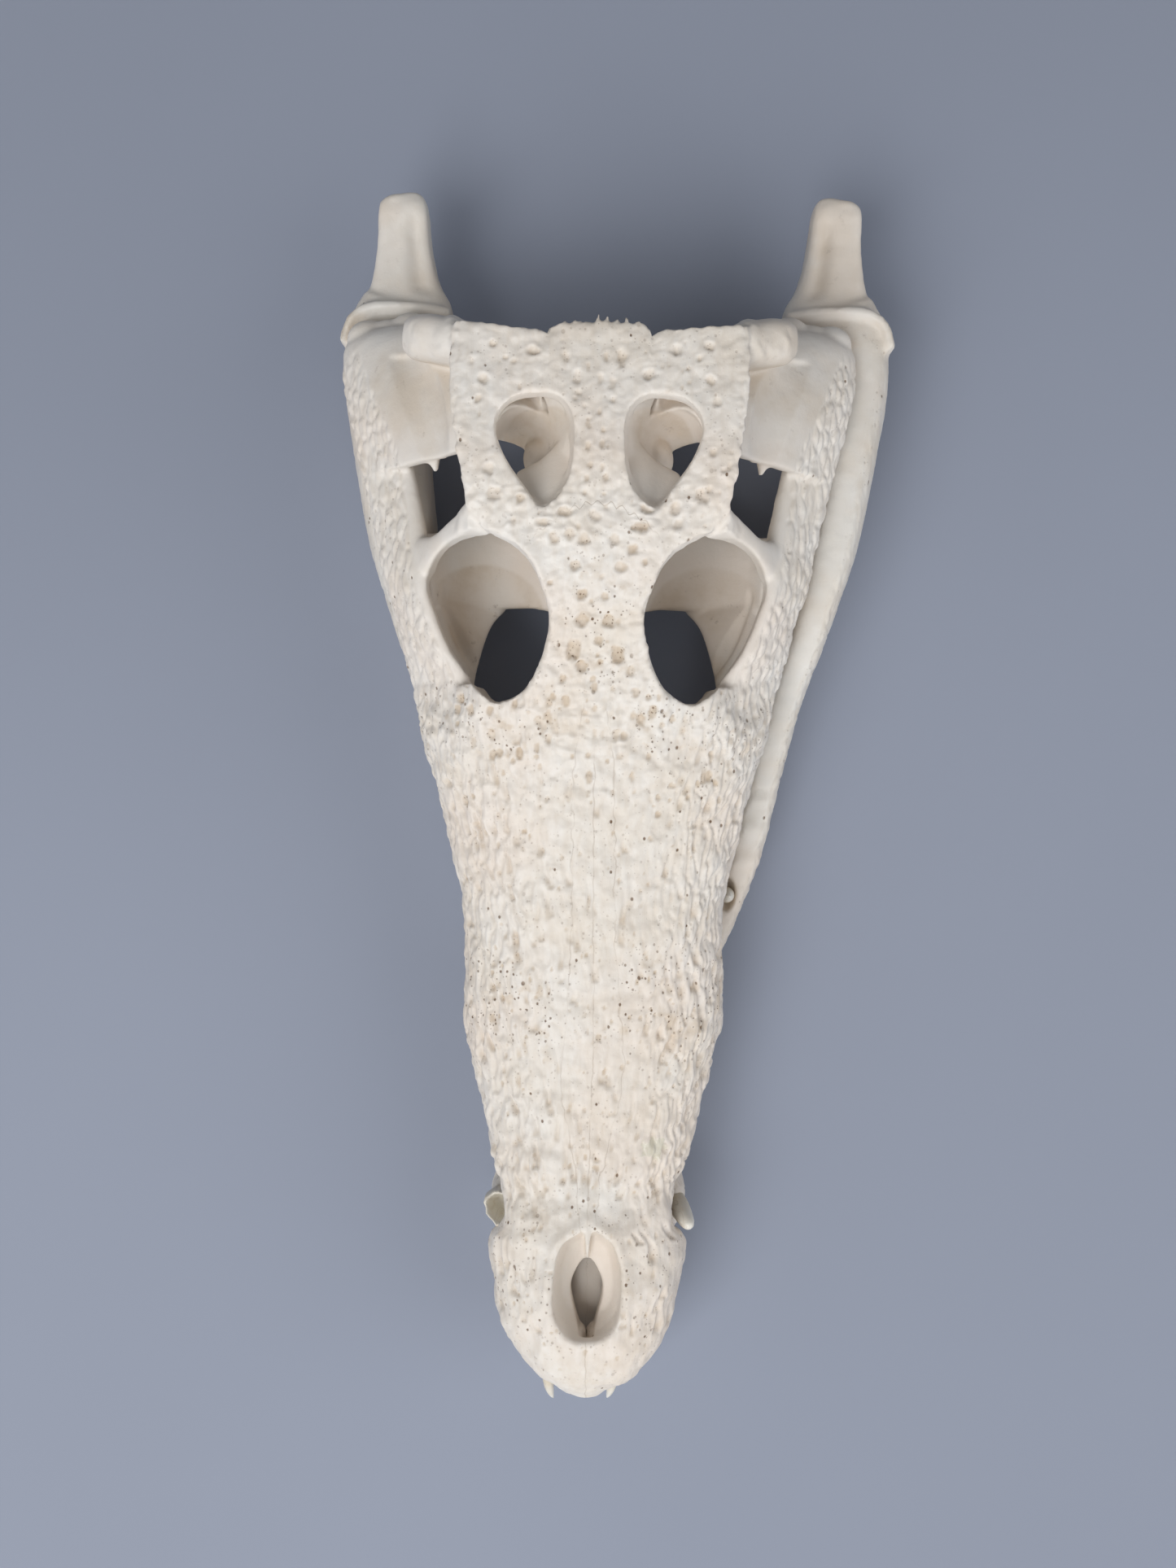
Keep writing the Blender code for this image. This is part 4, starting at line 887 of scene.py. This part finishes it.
    # raised rim round the nostril opening, and collars round the sockets of the teeth
    height += snout * relief["noseRim"] * bell(nose, -0.0022, 0.0022)
    height += relief["orbitRim"] * bell(orbit, -0.0016, 0.0013) * roof * (1 - step(y, 0.078, 0.088))
    nearEdge = (1 - step(z, edge + 0.004, edge + 0.011)) * (y < 0.02) * (outward > -0.2) * (nose < -0.004)
    height += nearEdge * relief["collar"] * socketSwell(y, teeth["premaxillary"][1:] + teeth["maxillary"])
    # smooth bone still has a slow swell
    height += (1 - rough) * 0.12 * soft
    thin = (hole > 0.0006) | (orbit > 0.0006)
    moved = p + n * (height * np.where(thin, 0.4, 1.0) / 1000)[:, None]
    # the rear edge of the table: hollow in the middle, with two notches
    back = step(y, 0.148, 0.1655) * step(z, 0.108, 0.114) * (1 - step(ax, 0.054, 0.058))
    moved[:, 1] += back * (0.001 - 0.0032 * (1 - np.minimum(ax / 0.05, 1) ** 2) * (ax > 0.0185)
                           - 0.0008 * (ax <= 0.0185) - 0.0016 * bell(ax, 0.0185, 0.0022)
                           + 0.0006 * wave(q / 3.5, 18))
    writePoints(obj.data, moved)
    # masks for the finish; inner is painted shade with some of the bone's own tan: it darkens the deep orbits
    # and upper openings, the recess behind them, down-facing bone, the gully beside the table, the nostril
    # and the flank below the tooth edge
    deep = np.clip(step(orbit, 0.0, 0.002) + step(hole, 0.0, 0.002), 0, 1) * step(top - z, 0.01, 0.024)
    underEdgeShade = 1 - step(z, edge + 0.001, edge + 0.004)
    gullyShade = (1 - cheek) * step(ax, 0.052, 0.058) * band(y, 0.118, 0.13, 0.165, 0.175)
    recessShade = step(hole, 0.0005, 0.002) * step(y, 0.122, 0.136) * step(top - z, 0.001, 0.006)
    paintedShade = np.clip(deep + recessShade + 0.6 * (1 - step(up, -0.6, 0.1)) * (y > 0.02), 0, 1)
    crowd = np.maximum.reduce([
        bell(y, -0.086, 0.02) * step(abs(bent), 0.006, 0.014), 0.9 * bell(y, 0.06, 0.02) * (ax < 0.014),
        bell(y, 0.02, 0.013) * step(ax, 0.012, 0.02), 0.6 * bell(y, -0.2, 0.022)])
    # seams of the bones
    wiggle = 0.0005 * wave(q / (3, 6, 3), 12)
    outside = np.maximum(0, y - 0.008) + np.maximum(0, -0.1785 - y) * (y > -0.2245)
    nasal = curve(metres(
        (-190, 3), (-165, 4), (-145, 7.5), (-115, 12.5), (-90, 10.5), (-50, 8.5), (0, 8), (30, 4.5)))(y)
    beside = np.maximum(0, y - 0.028) + np.maximum(0, -0.182 - y)
    zigzag = 0.1005 - 22 * x * x + 0.0022 * abs(((x * 1000 / 4.4) % 1) - 0.5) * 2 + 2.2 * wiggle
    beyond = np.maximum(0, ax - 0.022) + (1 - upper) * 0.02
    paintPoints(
        obj.data, rough=rough, speckled=np.clip(0.25 + crowd, 0, 1) * rough,
        pitted=pitted * (1 - 0.45 * roof * step(y, 0.075, 0.1)),
        grooved=np.clip(-ridges * snout * 0.6 + 0.7 * winding * roof, 0, 1),
        # inner: painted shade in hollows, the gully, the nostril and under the tooth edge, partly the bone's
        # own tan
        inner=np.clip(paintedShade + 0.55 * gullyShade + 0.4 * underEdgeShade * (y < 0.03) + 0.25 * step(nose, 0.0, 0.002), 0, 1),
        seamMiddle=seam(bent + wiggle, outside), seamSide=seam(abs(bent) - nasal - 2 * wiggle, beside),
        seamCross=seam(y - zigzag, beyond))


def carveJaw(obj):
    p, n = readPoints(obj.data)
    x, y, z = p.T
    plain = x - jawShift(y)
    q = np.stack([plain, y, z], axis=1) * 1000
    side = np.sign(plain)
    outward = n[:, 0] * side
    top = jawTop(y)
    outer = step(outward, 0.05, 0.45) * (1 - step(y, 0.196, 0.206))
    rear = step(y, 0.06, 0.1)
    warp = drift(q, 21) * 2.2
    soft, fine = wave(q / 5, 25), wave(q / 1.6, 24)
    height = np.zeros(len(p))
    ridges = ridgeLines(q, warp, (3.0, 16, 2.8), (2.0, 8, 1.8), 0.5, 27)
    height += outer * (1 - 0.6 * rear) * relief["jawGroove"] * (ridges + 0.5)
    pick = np.flatnonzero((outer * rear > 0.01) & (z < 0.048))
    gaps = cellGaps((q[pick] + warp[pick] * 0.5) / (3.4, 5.2, 3.4), 29)
    low = 1 - step(z[pick], 0.036, 0.048)
    height[pick] += (outer * rear)[pick] * low * relief["jawNet"] * (step(gaps, 0, 0.45) - 0.6)
    height += 0.16 * soft + 0.06 * fine * outer
    pitted = np.zeros(len(p))
    chance = random.Random(relief["jawSeed"])
    for _ in range(relief["jawPits"]):
        py, r = chance.uniform(-235, 30), chance.uniform(0.5, 0.95)
        low, high = float(jawFoot(py / 1000)), float(jawTop(py / 1000))
        pz = 1000 * (low + chance.uniform(0.35, 0.92) * (high - low))
        face = chance.choice((1, -1))
        near = np.flatnonzero((side == face) & (outward > 0.2)
                              & (abs(q[:, 1] - py) < 3) & (abs(q[:, 2] - pz) < 2))
        d = np.hypot((q[near, 1] - py) / 1.6, q[near, 2] - pz) / r
        height[near] -= relief["jawPitDepth"] * (1 - step(d, 0.4, 1.1))
        pitted[near] = np.maximum(pitted[near], 1 - step(d, 0.5, 1.0))
    nearEdge = step(z, top - 0.01, top - 0.004) * (y < 0.0) * (outward > -0.3)
    height += nearEdge * relief["jawCollar"] * socketSwell(y, teeth["lower"])
    # troughs on top of the process behind the joint
    place = (abs(plain) - jawOuter(y)) / jawThick(y) + 1
    onTop = step(n[:, 2], 0.2, 0.6) * step(y, 0.1985, 0.2055)
    deep = onTop * (1 - step(y, 0.222, 0.238)) * bell(place, 0.27, 0.15)
    height += onTop * (1 - step(y, 0.2365, 0.2405)) * (0.5 - relief["troughDepth"] * bell(place, 0.68, 0.2))
    height -= relief["troughDeepest"] * deep
    # the feet that it rests on stay flat
    standing = 1 - step(z, 0.0003, 0.0025)
    height *= 1 - standing
    moved = p + n * (height / 1000)[:, None]
    moved[:, 2] = np.maximum(moved[:, 2], 0)
    writePoints(obj.data, moved)
    grooveShade = band(y, 0.176, 0.183, 0.19, 0.193) * step(n[:, 2], 0.1, 0.5)
    wiggle = 0.0006 * wave(q / (3, 6, 3), 32)
    # seams between the bones of the outer side
    dentary = curve(metres((-50, 10), (0, 18), (30, 30), (78, 34), (120, 36), (170, 40)))(y)
    slant = y - 0.03 + (z - 0.035) * 1.4 + 2 * wiggle
    turned = (1 - step(outward, 0.1, 0.4)) * 0.02
    paintPoints(
        obj.data, pitted=pitted, rough=outer, speckled=outer * 0.25,
        grooved=np.clip(-ridges * outer * 0.5, 0, 1),
        # inner is painted shade on the inward faces of the halves, in the deepest trough and in the groove
        # under the joint, with a light tan tone of the bone behind the joint
        inner=np.clip((1 - step(outward, -0.5, 0.1)) * 0.6 * (y < 0.19) + 0.45 * deep + 0.8 * grooveShade
                      + 0.3 * step(y, 0.192, 0.2), 0, 1),
        seamMiddle=plain + wiggle * 0.4,
        seamSide=seam(z - dentary - wiggle * 2, np.maximum(0, -0.04 - y) + np.maximum(0, y - 0.165) + turned),
        seamCross=seam(slant, np.maximum(0, 0.034 - z) + turned))


# finishes

class Wire:  # a socket that takes part in sums
    def __init__(self, finish, socket):
        self.finish, self.socket = finish, socket

    def join(self, operation, a, b):
        return self.finish.wire("ShaderNodeMath", {"operation": operation}, {0: a, 1: b})

    def __add__(self, other): return self.join("ADD", self, other)
    def __radd__(self, other): return self.join("ADD", other, self)
    def __sub__(self, other): return self.join("SUBTRACT", self, other)
    def __rsub__(self, other): return self.join("SUBTRACT", other, self)
    def __mul__(self, other): return self.join("MULTIPLY", self, other)
    def __rmul__(self, other): return self.join("MULTIPLY", other, self)
    def __abs__(self): return self.join("ABSOLUTE", self, 0.0)
    def atLeast(self, other): return self.join("MAXIMUM", self, other)

    def ramp(self, low, high, start=0.0, end=1.0):  # smooth from start at low to end at high
        return self.finish.wire("ShaderNodeMapRange", {"interpolation_type": "SMOOTHSTEP", "clamp": True},
                                {0: self, 1: low, 2: high, 3: start, 4: end})


class Finish:  # one material and its nodes
    def __init__(self, name, **shader):
        self.material = bpy.data.materials.new(name)
        self.material.use_nodes = True
        self.tree = self.material.node_tree
        self.shader = self.tree.nodes["Principled BSDF"]
        for key, value in shader.items():
            self.shader.inputs[key.replace("_", " ")].default_value = value

    def node(self, kind, settings=None, inputs=None):
        made = self.tree.nodes.new(kind)
        for key, value in (settings or {}).items():
            setattr(made, key, value)
        for key, value in (inputs or {}).items():
            self.feed(made.inputs[key], value)
        return made

    def feed(self, socket, value):
        if isinstance(value, Wire):
            self.tree.links.new(value.socket, socket)
        elif isinstance(value, tuple) and len(value) == 3 and socket.type == "RGBA":
            socket.default_value = (*value, 1)
        else:
            socket.default_value = value

    def wire(self, kind, settings=None, inputs=None, output=0):
        return Wire(self, self.node(kind, settings, inputs).outputs[output])

    def places(self, stretch=(1, 1, 1)):  # points of the piece, squeezed for a stretched pattern
        spots = self.wire("ShaderNodeTexCoord", output="Object")
        return self.wire("ShaderNodeVectorMath", {"operation": "MULTIPLY"}, {0: spots, 1: stretch})

    def noise(self, scale, detail, stretch=(1, 1, 1), roughness=0.5):
        return self.wire("ShaderNodeTexNoise", None, {
            "Vector": self.places(stretch), "Scale": scale, "Detail": detail,
            "Roughness": roughness}, "Fac")

    def dots(self, scale, low, high, share, stretch=(1, 1, 1)):  # scattered round dots, 1 in them
        cells = self.node("ShaderNodeTexVoronoi", None, {"Vector": self.places(stretch), "Scale": scale})
        near, tint = Wire(self, cells.outputs["Distance"]), Wire(self, cells.outputs["Color"])
        chosen = self.wire("ShaderNodeSeparateColor", None, {"Color": tint})
        return near.ramp(low, high, 1.0, 0.0) * chosen.ramp(1 - share, 1 - share + 0.02)

    def mask(self, name):
        return self.wire("ShaderNodeAttribute", {"attribute_name": name}, output="Fac")

    def blend(self, factor, a, b):
        made = self.node("ShaderNodeMix", {"data_type": "RGBA"})
        self.feed(made.inputs[0], factor)
        self.feed(made.inputs[6], a)
        self.feed(made.inputs[7], b)
        return Wire(self, made.outputs[2])

    def bump(self, height, strength, distance):
        inputs = {"Height": height, "Strength": strength, "Distance": distance}
        return self.wire("ShaderNodeBump", None, inputs)

    def done(self, **sockets):
        for key, value in sockets.items():
            self.feed(self.shader.inputs[key.replace("_", " ")], value)
        return self.material


boneLooks = {
    "ivory": (0.815, 0.765, 0.7), "cream": (0.785, 0.71, 0.615), "jaw": (0.8, 0.765, 0.705),
    "white": (0.86, 0.84, 0.8), "peach": (0.82, 0.7, 0.6), "olive": (0.6, 0.58, 0.44),
    "tan": (0.56, 0.44, 0.31), "brown": (0.17, 0.095, 0.045), "seam": (0.34, 0.25, 0.16),
    "craniumRoughness": 0.52, "jawRoughness": 0.46, "seamWidth": 0.0003,
    "glueAt": (0.0273, -0.1463, 0.0655),
}


def boneFinish(name, base, second, roughness, glue=None):
    f = Finish(name, IOR=1.5)
    seamWidth = boneLooks["seamWidth"]
    patches = f.noise(26, 5, roughness=0.6).ramp(0.38, 0.66)
    clouds = f.noise(70, 4, stretch=(1, 0.6, 1)).ramp(0.45, 0.75)
    grain = f.noise(1300, 2)
    streaks = f.noise(330, 3, stretch=(1, 0.16, 1))
    pitted, rough, inner, grooved = (f.mask(m) for m in ("pitted", "rough", "inner", "grooved"))
    middle, aside, cross = (
        abs(f.mask(m) + (f.noise(420, 2) - 0.5) * 0.0007).ramp(seamWidth * 0.3, seamWidth, 1.0, 0.0)
        for m in ("seamMiddle", "seamSide", "seamCross"))
    seams = (middle * 0.6).atLeast(aside * 0.6).atLeast(cross * 0.8)
    seams = seams * f.noise(60, 3).ramp(0.36, 0.58, 0.25, 1.0)
    crowd = f.mask("speckled") * f.noise(75, 2).ramp(0.36, 0.54)
    holes = f.dots(230, 0.08, 0.155, 0.2, (1, 0.75, 1)) * rough
    holes = holes.atLeast(f.dots(150, 0.07, 0.14, 0.55, (1, 0.8, 1)) * crowd)
    holes = holes.atLeast(f.dots(400, 0.11, 0.23, 0.62, (1, 0.8, 1)) * crowd)
    holes = holes.atLeast(f.dots(760, 0.12, 0.26, 0.3) * crowd * 0.8)
    crumbs = f.dots(900, 0.18, 0.34, 0.3) * pitted * f.noise(95, 2).ramp(0.42, 0.58)
    stain = f.noise(120, 4, roughness=0.65).ramp(0.6, 0.76) * rough
    colour = f.blend(patches * 0.75, base, second)
    for share, tint in (
            (clouds * 0.35, "white"), (f.noise(17, 3).ramp(0.42, 0.64) * 0.4, "peach"),
            (streaks.ramp(0.35, 0.7) * rough * 0.16, "tan"), (grooved * 0.16, "tan"), (stain * 0.22, "tan"),
            # painted shade: the inner mask tints hollows, undersides and the facing sides of the jaws tan,
            # partly the bone's own staining, and adds dark brown blotches for deep shade
            (inner * (0.18 + 0.42 * patches), "tan"),
            (inner * f.noise(150, 4, roughness=0.7).ramp(0.6, 0.74) * 0.4, "brown"),
            (pitted * (0.34 + 0.34 * f.noise(60, 2).ramp(0.4, 0.62)), "tan"),
            (crowd * f.noise(140, 3).ramp(0.55, 0.7) * 0.45, "tan"), (seams * 0.45, "seam"),
            ((crumbs * 0.75).atLeast(holes * (0.8 + 0.2 * patches)), "brown")):
        colour = f.blend(share, colour, boneLooks[tint])
    sheen = roughness + 0.1 * (f.noise(240, 3) - 0.5) + 0.08 * pitted
    if glue:  # a dried, glossy patch
        away = f.wire("ShaderNodeVectorMath", {"operation": "DISTANCE"}, {0: f.places(), 1: glue}, "Value")
        patch = (away + (f.noise(230, 4) - 0.5) * 0.016).ramp(0.0035, 0.0065, 1.0, 0.0)
        colour = f.blend(patch * 0.55, colour, boneLooks["olive"])
        sheen = sheen - 0.38 * patch
    height = (streaks * rough * 0.55 + grain * 0.1 + f.noise(520, 3) * 0.3
              - seams * 0.45 - holes * 1.3 - crumbs * 0.7)
    return f.done(Base_Color=colour, Roughness=sheen, Normal=f.bump(height, 0.55, 0.0006))


def toothFinish():
    f = Finish("toothEnamel", IOR=1.55)
    crown = f.mask("crown")
    lines = f.noise(700, 2, stretch=(1, 1, 0.12))
    colour = f.blend(crown.ramp(0.0, 0.7), (0.66, 0.56, 0.4), (0.84, 0.8, 0.71))
    colour = f.blend(f.noise(300, 3).ramp(0.5, 0.75) * 0.35, colour, (0.62, 0.5, 0.34))
    cracks = abs(f.noise(160, 2, stretch=(1, 1, 0.2)) - 0.5).ramp(0.0, 0.01, 1.0, 0.0)
    colour = f.blend(cracks * 0.35, colour, (0.36, 0.25, 0.15))
    return f.done(Base_Color=colour, Roughness=0.24 + 0.18 * lines,
                  Normal=f.bump(lines * 0.6 - cracks * 0.5, 0.35, 0.0004))


# pieces

# boxes that part the cranium, in this order: name, node, side (0 for both), and x, y and z from and to
bones = [
    ("premaxillae", "snout", 0, metres((0, 300, -400, -150, -100, 300))),
    ("maxillae", "snout", 0, metres((0, 300, -400, -55, -100, 300))),
    ("prefrontals", "snout", 0, metres((0, 300, -400, 24, -100, 300))),
    ("palateBones", "palate", 0, metres(
        (0, 46, -100, 150, -100, 63), (0, 54, 36, 150, -100, 63), (0, 72, -100, 150, -100, 52))),
    ("braincaseBones", "braincase", 0, metres(
        (0, 36, 77.5, 300, -100, 108), (0, 36, 97, 300, -100, 117), (0, 80, 153.5, 300, 94, 117)))]
bones += [(stem + word, stem + "_" + word.lower(), side, boxes) for stem, boxes in (
    ("cheek", metres((50, 200, -100, 125.5, -100, 108.5), (46, 200, -100, 36, -100, 64))),
    ("quadrate", metres((30, 200, 125.5, 300, -100, 117), (30, 50, 103.5, 300, -100, 117))))
    for side, word in bothSides]
leastFaces = 200  # a loose bit of fewer faces is a crumb


def boxForm(box, side):
    lowX, highX = sorted((box[0] * side, box[1] * side)) if side else (-box[1], box[1])
    bm = bmesh.new()
    bmesh.ops.create_cube(bm, size=1)
    for vert in bm.verts:
        vert.co = [low + (high - low) * (co + 0.5)
                   for co, (low, high) in zip(vert.co, ((lowX, highX), box[2:4], box[4:6]))]
    return newObject("box", bm)


def boxesForm(boxes, side):
    first, *others = [boxForm(box, side) for box in boxes]
    if others:
        cutAway(first, others, "UNION")
    return first


def dropCrumbs(bm, least):  # takes away loose bits of fewer faces
    waiting, crumbs = set(bm.faces), []
    while waiting:
        start = waiting.pop()
        bit, border = [start], [start]
        while border:
            for edge in border.pop().edges:
                for face in edge.link_faces:
                    if face in waiting:
                        waiting.discard(face)
                        bit.append(face)
                        border.append(face)
        if len(bit) < least:
            crumbs += bit
    if crumbs:
        bmesh.ops.delete(bm, geom=crumbs, context="FACES")
        print("crumbs taken away:", len(crumbs), "faces")


def partByBone(obj, shares, lastName, material):
    # parts the skin with boxes into closed pieces, keeping the shading and the masks across the joints
    points, normals = readPoints(obj.data)
    masks = {}
    for layer in obj.data.attributes:
        if layer.domain == "POINT" and layer.data_type == "FLOAT":
            masks[layer.name] = np.empty(len(points), np.float32)
            layer.data.foreach_get("value", masks[layer.name])
    for name in masks:
        obj.data.attributes.remove(obj.data.attributes[name])
    paintPoints(obj.data, origin=np.arange(1, len(points) + 1))
    tree = kdtree.KDTree(len(points))
    for k, point in enumerate(points):
        tree.insert(point, k)
    tree.balance()
    found = {}
    for name, side, boxes in shares:
        found[name] = newObject(name, mesh=obj.data.copy())
        cutAway(found[name], [boxesForm(boxes, side)], "INTERSECT")
        cutAway(obj, [boxesForm(boxes, side)])
    found[lastName] = newObject(lastName, mesh=obj.data)
    bpy.data.objects.remove(obj, do_unlink=True)
    for piece in found.values():
        bm = bmesh.new()
        bm.from_mesh(piece.data)
        bmesh.ops.triangulate(bm, faces=[face for face in bm.faces if len(face.verts) > 4])
        dropCrumbs(bm, leastFaces)
        for face in bm.faces:
            face.smooth = True
        bm.to_mesh(piece.data)
        bm.free()
        data = piece.data
        origin = np.empty(len(data.vertices), np.float32)
        data.attributes["origin"].data.foreach_get("value", origin)
        source = np.round(origin).astype(int) - 1
        for k in np.flatnonzero(source < 0):  # new points along a joint take after the nearest one
            source[k] = tree.find(data.vertices[int(k)].co)[1]
        data.attributes.remove(data.attributes["origin"])
        paintPoints(data, **{mask: values[source] for mask, values in masks.items()})
        data.normals_split_custom_set_from_vertices(normals[source])
        data.materials.clear()
        data.materials.append(material)
    return found


def toothPiece(name, rows, material):
    bm = bmesh.new()
    crown = bm.verts.layers.float.new("crown")
    for rings in rows:
        start = len(bm.verts)
        growRings(bm, rings)
        bm.verts.ensure_lookup_table()
        for k in range(start, len(bm.verts)):
            bm.verts[k][crown] = ((k - start) // teeth["sides"]) / (len(rings) - 1)
    bmesh.ops.recalc_face_normals(bm, faces=bm.faces)
    for face in bm.faces:
        face.smooth = True
    obj = newObject(name, bm)
    obj.data.materials.append(material)
    return obj


def finishPiece(piece, nodes=()):
    piece.data.transform(placement)
    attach(piece, "root")
    if nodes:
        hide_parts(*nodes)


placement = Matrix.Translation(toFrame)
glueX, glueY, glueZ = boneLooks["glueAt"]
craniumBone = boneFinish("craniumBone", boneLooks["ivory"], boneLooks["cream"], boneLooks["craniumRoughness"],
                         (glueX + toFrame.x, glueY + toFrame.y, glueZ))
jawBone = boneFinish("jawBone", boneLooks["jaw"], boneLooks["cream"], boneLooks["jawRoughness"])
enamel = toothFinish()
print("finishes made")

forms = [makeSnout(), *makeRoof(), *makeBraincase(), *makePalate()]
for side, _ in bothSides:
    forms += makeCheek(side) + makeQuadrate(side)
upperSkull = runTogether("upperSkull", forms, cranium["grain"])
cutAway(upperSkull, openingCutters())
joinForms(upperSkull, innerForms())
cutAway(upperSkull, toothCutters(lowerTeeth(teeth["lowerClearance"])))
remeshed(upperSkull, cranium["grain"], cranium["smoothing"])
print("cranium formed:", len(upperSkull.data.polygons), "faces")
carveCranium(upperSkull)
print("cranium carved")
nodeOf = {name: node for name, node, _, _ in bones} | {"skullRoof": "skull_roof"}
shares = [(name, side, boxes) for name, _, side, boxes in bones]
parts = partByBone(upperSkull, shares, "skullRoof", craniumBone)
for name, piece in parts.items():
    slot = "inner_bone" if nodeOf[name] in ("palate", "braincase") else "cranium_bone"
    finishPiece(piece, [nodeOf[name]])
print("cranium parted into", len(parts), "bones")

lowerJaw = makeJaw()
cutAway(lowerJaw, toothCutters(upperTeeth(teeth["upperClearance"])))
remeshed(lowerJaw, jaw["grain"], jaw["smoothing"])
carveJaw(lowerJaw)
leftHalf = ("mandibleLeft", 1, metres((0, 300, -400, 400, -100, 300)))
halves = partByBone(lowerJaw, [leftHalf], "mandibleRight", jawBone)
for name, piece in halves.items():
    finishPiece(piece, ("mandible_left" if name.endswith("Left") else "mandible_right",))
print("lower jaw made")

for label, rows in (("Upper", upperTeeth()), ("Lower", lowerTeeth())):
    for side, word in bothSides:
        row = toothPiece("teeth" + label + word, [rings for s, rings in rows if s == side], enamel)
        finishPiece(row)
print("teeth set")


# floor, light and camera

stage = {"floor": (0.31, 0.34, 0.42), "camera": (-0.0096, 0.00875, 0.628), "turn": 0.0135,
         "focalPixels": 1717, "imageHeight": 1927, "sensor": 24,
         # name, place, size, power
         "lights": (("keyLight", (-0.55, -0.66, 1.3), 0.9, 13.5), ("fillLight", (1.0, -0.3, 0.8), 1.0, 4)),
         # from and to, and strength at both, along Z and along Y
         "skyHeight": (0.45, 0.95, 0.88, 0.25), "skyDepth": (-0.4, 0.5, 1.0, 0.25), "sky": (0.88, 0.91, 0.96)}
bm = bmesh.new()
bmesh.ops.create_grid(bm, x_segments=1, y_segments=1, size=4)
floor = newObject("floor", bm)
floorFinish = Finish("floorPaint", Roughness=0.8)
floor.data.materials.append(floorFinish.done(Base_Color=floorFinish.blend(
    floorFinish.noise(3, 4).ramp(0.3, 0.7), stage["floor"], tuple(c * 0.97 for c in stage["floor"]))))

for name, place, size, power in stage["lights"]:
    light = bpy.data.lights.new(name, "AREA")
    light.energy, light.size = power, size
    lamp = bpy.data.objects.new(name, light)
    lamp.location = place
    lamp.rotation_euler = (Vector((0, 0, 0.05)) - Vector(place)).to_track_quat("-Z", "Y").to_euler()
    bpy.context.scene.collection.objects.link(lamp)
# light from all sides, and less from straight above
world = bpy.data.worlds.new("studio")
world.use_nodes = True
sky, background = world.node_tree.nodes, world.node_tree.nodes["Background"]
spots = sky.new("ShaderNodeTexCoord")
axes = sky.new("ShaderNodeSeparateXYZ")
height, depth, both = (sky.new(kind) for kind in ("ShaderNodeMapRange", "ShaderNodeMapRange",
                                                  "ShaderNodeMath"))
for spread, key in ((height, "skyHeight"), (depth, "skyDepth")):
    for key, value in enumerate(stage[key], 1):
        spread.inputs[key].default_value = value
both.operation = "MULTIPLY"
for start, end in ((spots.outputs["Generated"], axes.inputs[0]), (axes.outputs["Z"], height.inputs[0]),
                   (axes.outputs["Y"], depth.inputs[0]), (height.outputs[0], both.inputs[0]),
                   (depth.outputs[0], both.inputs[1]), (both.outputs[0], background.inputs["Strength"])):
    world.node_tree.links.new(start, end)
background.inputs["Color"].default_value = (*stage["sky"], 1)
bpy.context.scene.world = world
bpy.context.scene.view_settings.view_transform = "Standard"

lens = bpy.data.cameras.new("camera")
lens.sensor_fit = "VERTICAL"
lens.sensor_height = stage["sensor"]
lens.lens = stage["focalPixels"] / stage["imageHeight"] * stage["sensor"]
lens.clip_start = 0.01
camera = bpy.data.objects.new("camera", lens)
camera.location = stage["camera"]
camera.rotation_euler = (0, 0, stage["turn"])
bpy.context.scene.collection.objects.link(camera)
bpy.context.scene.camera = camera
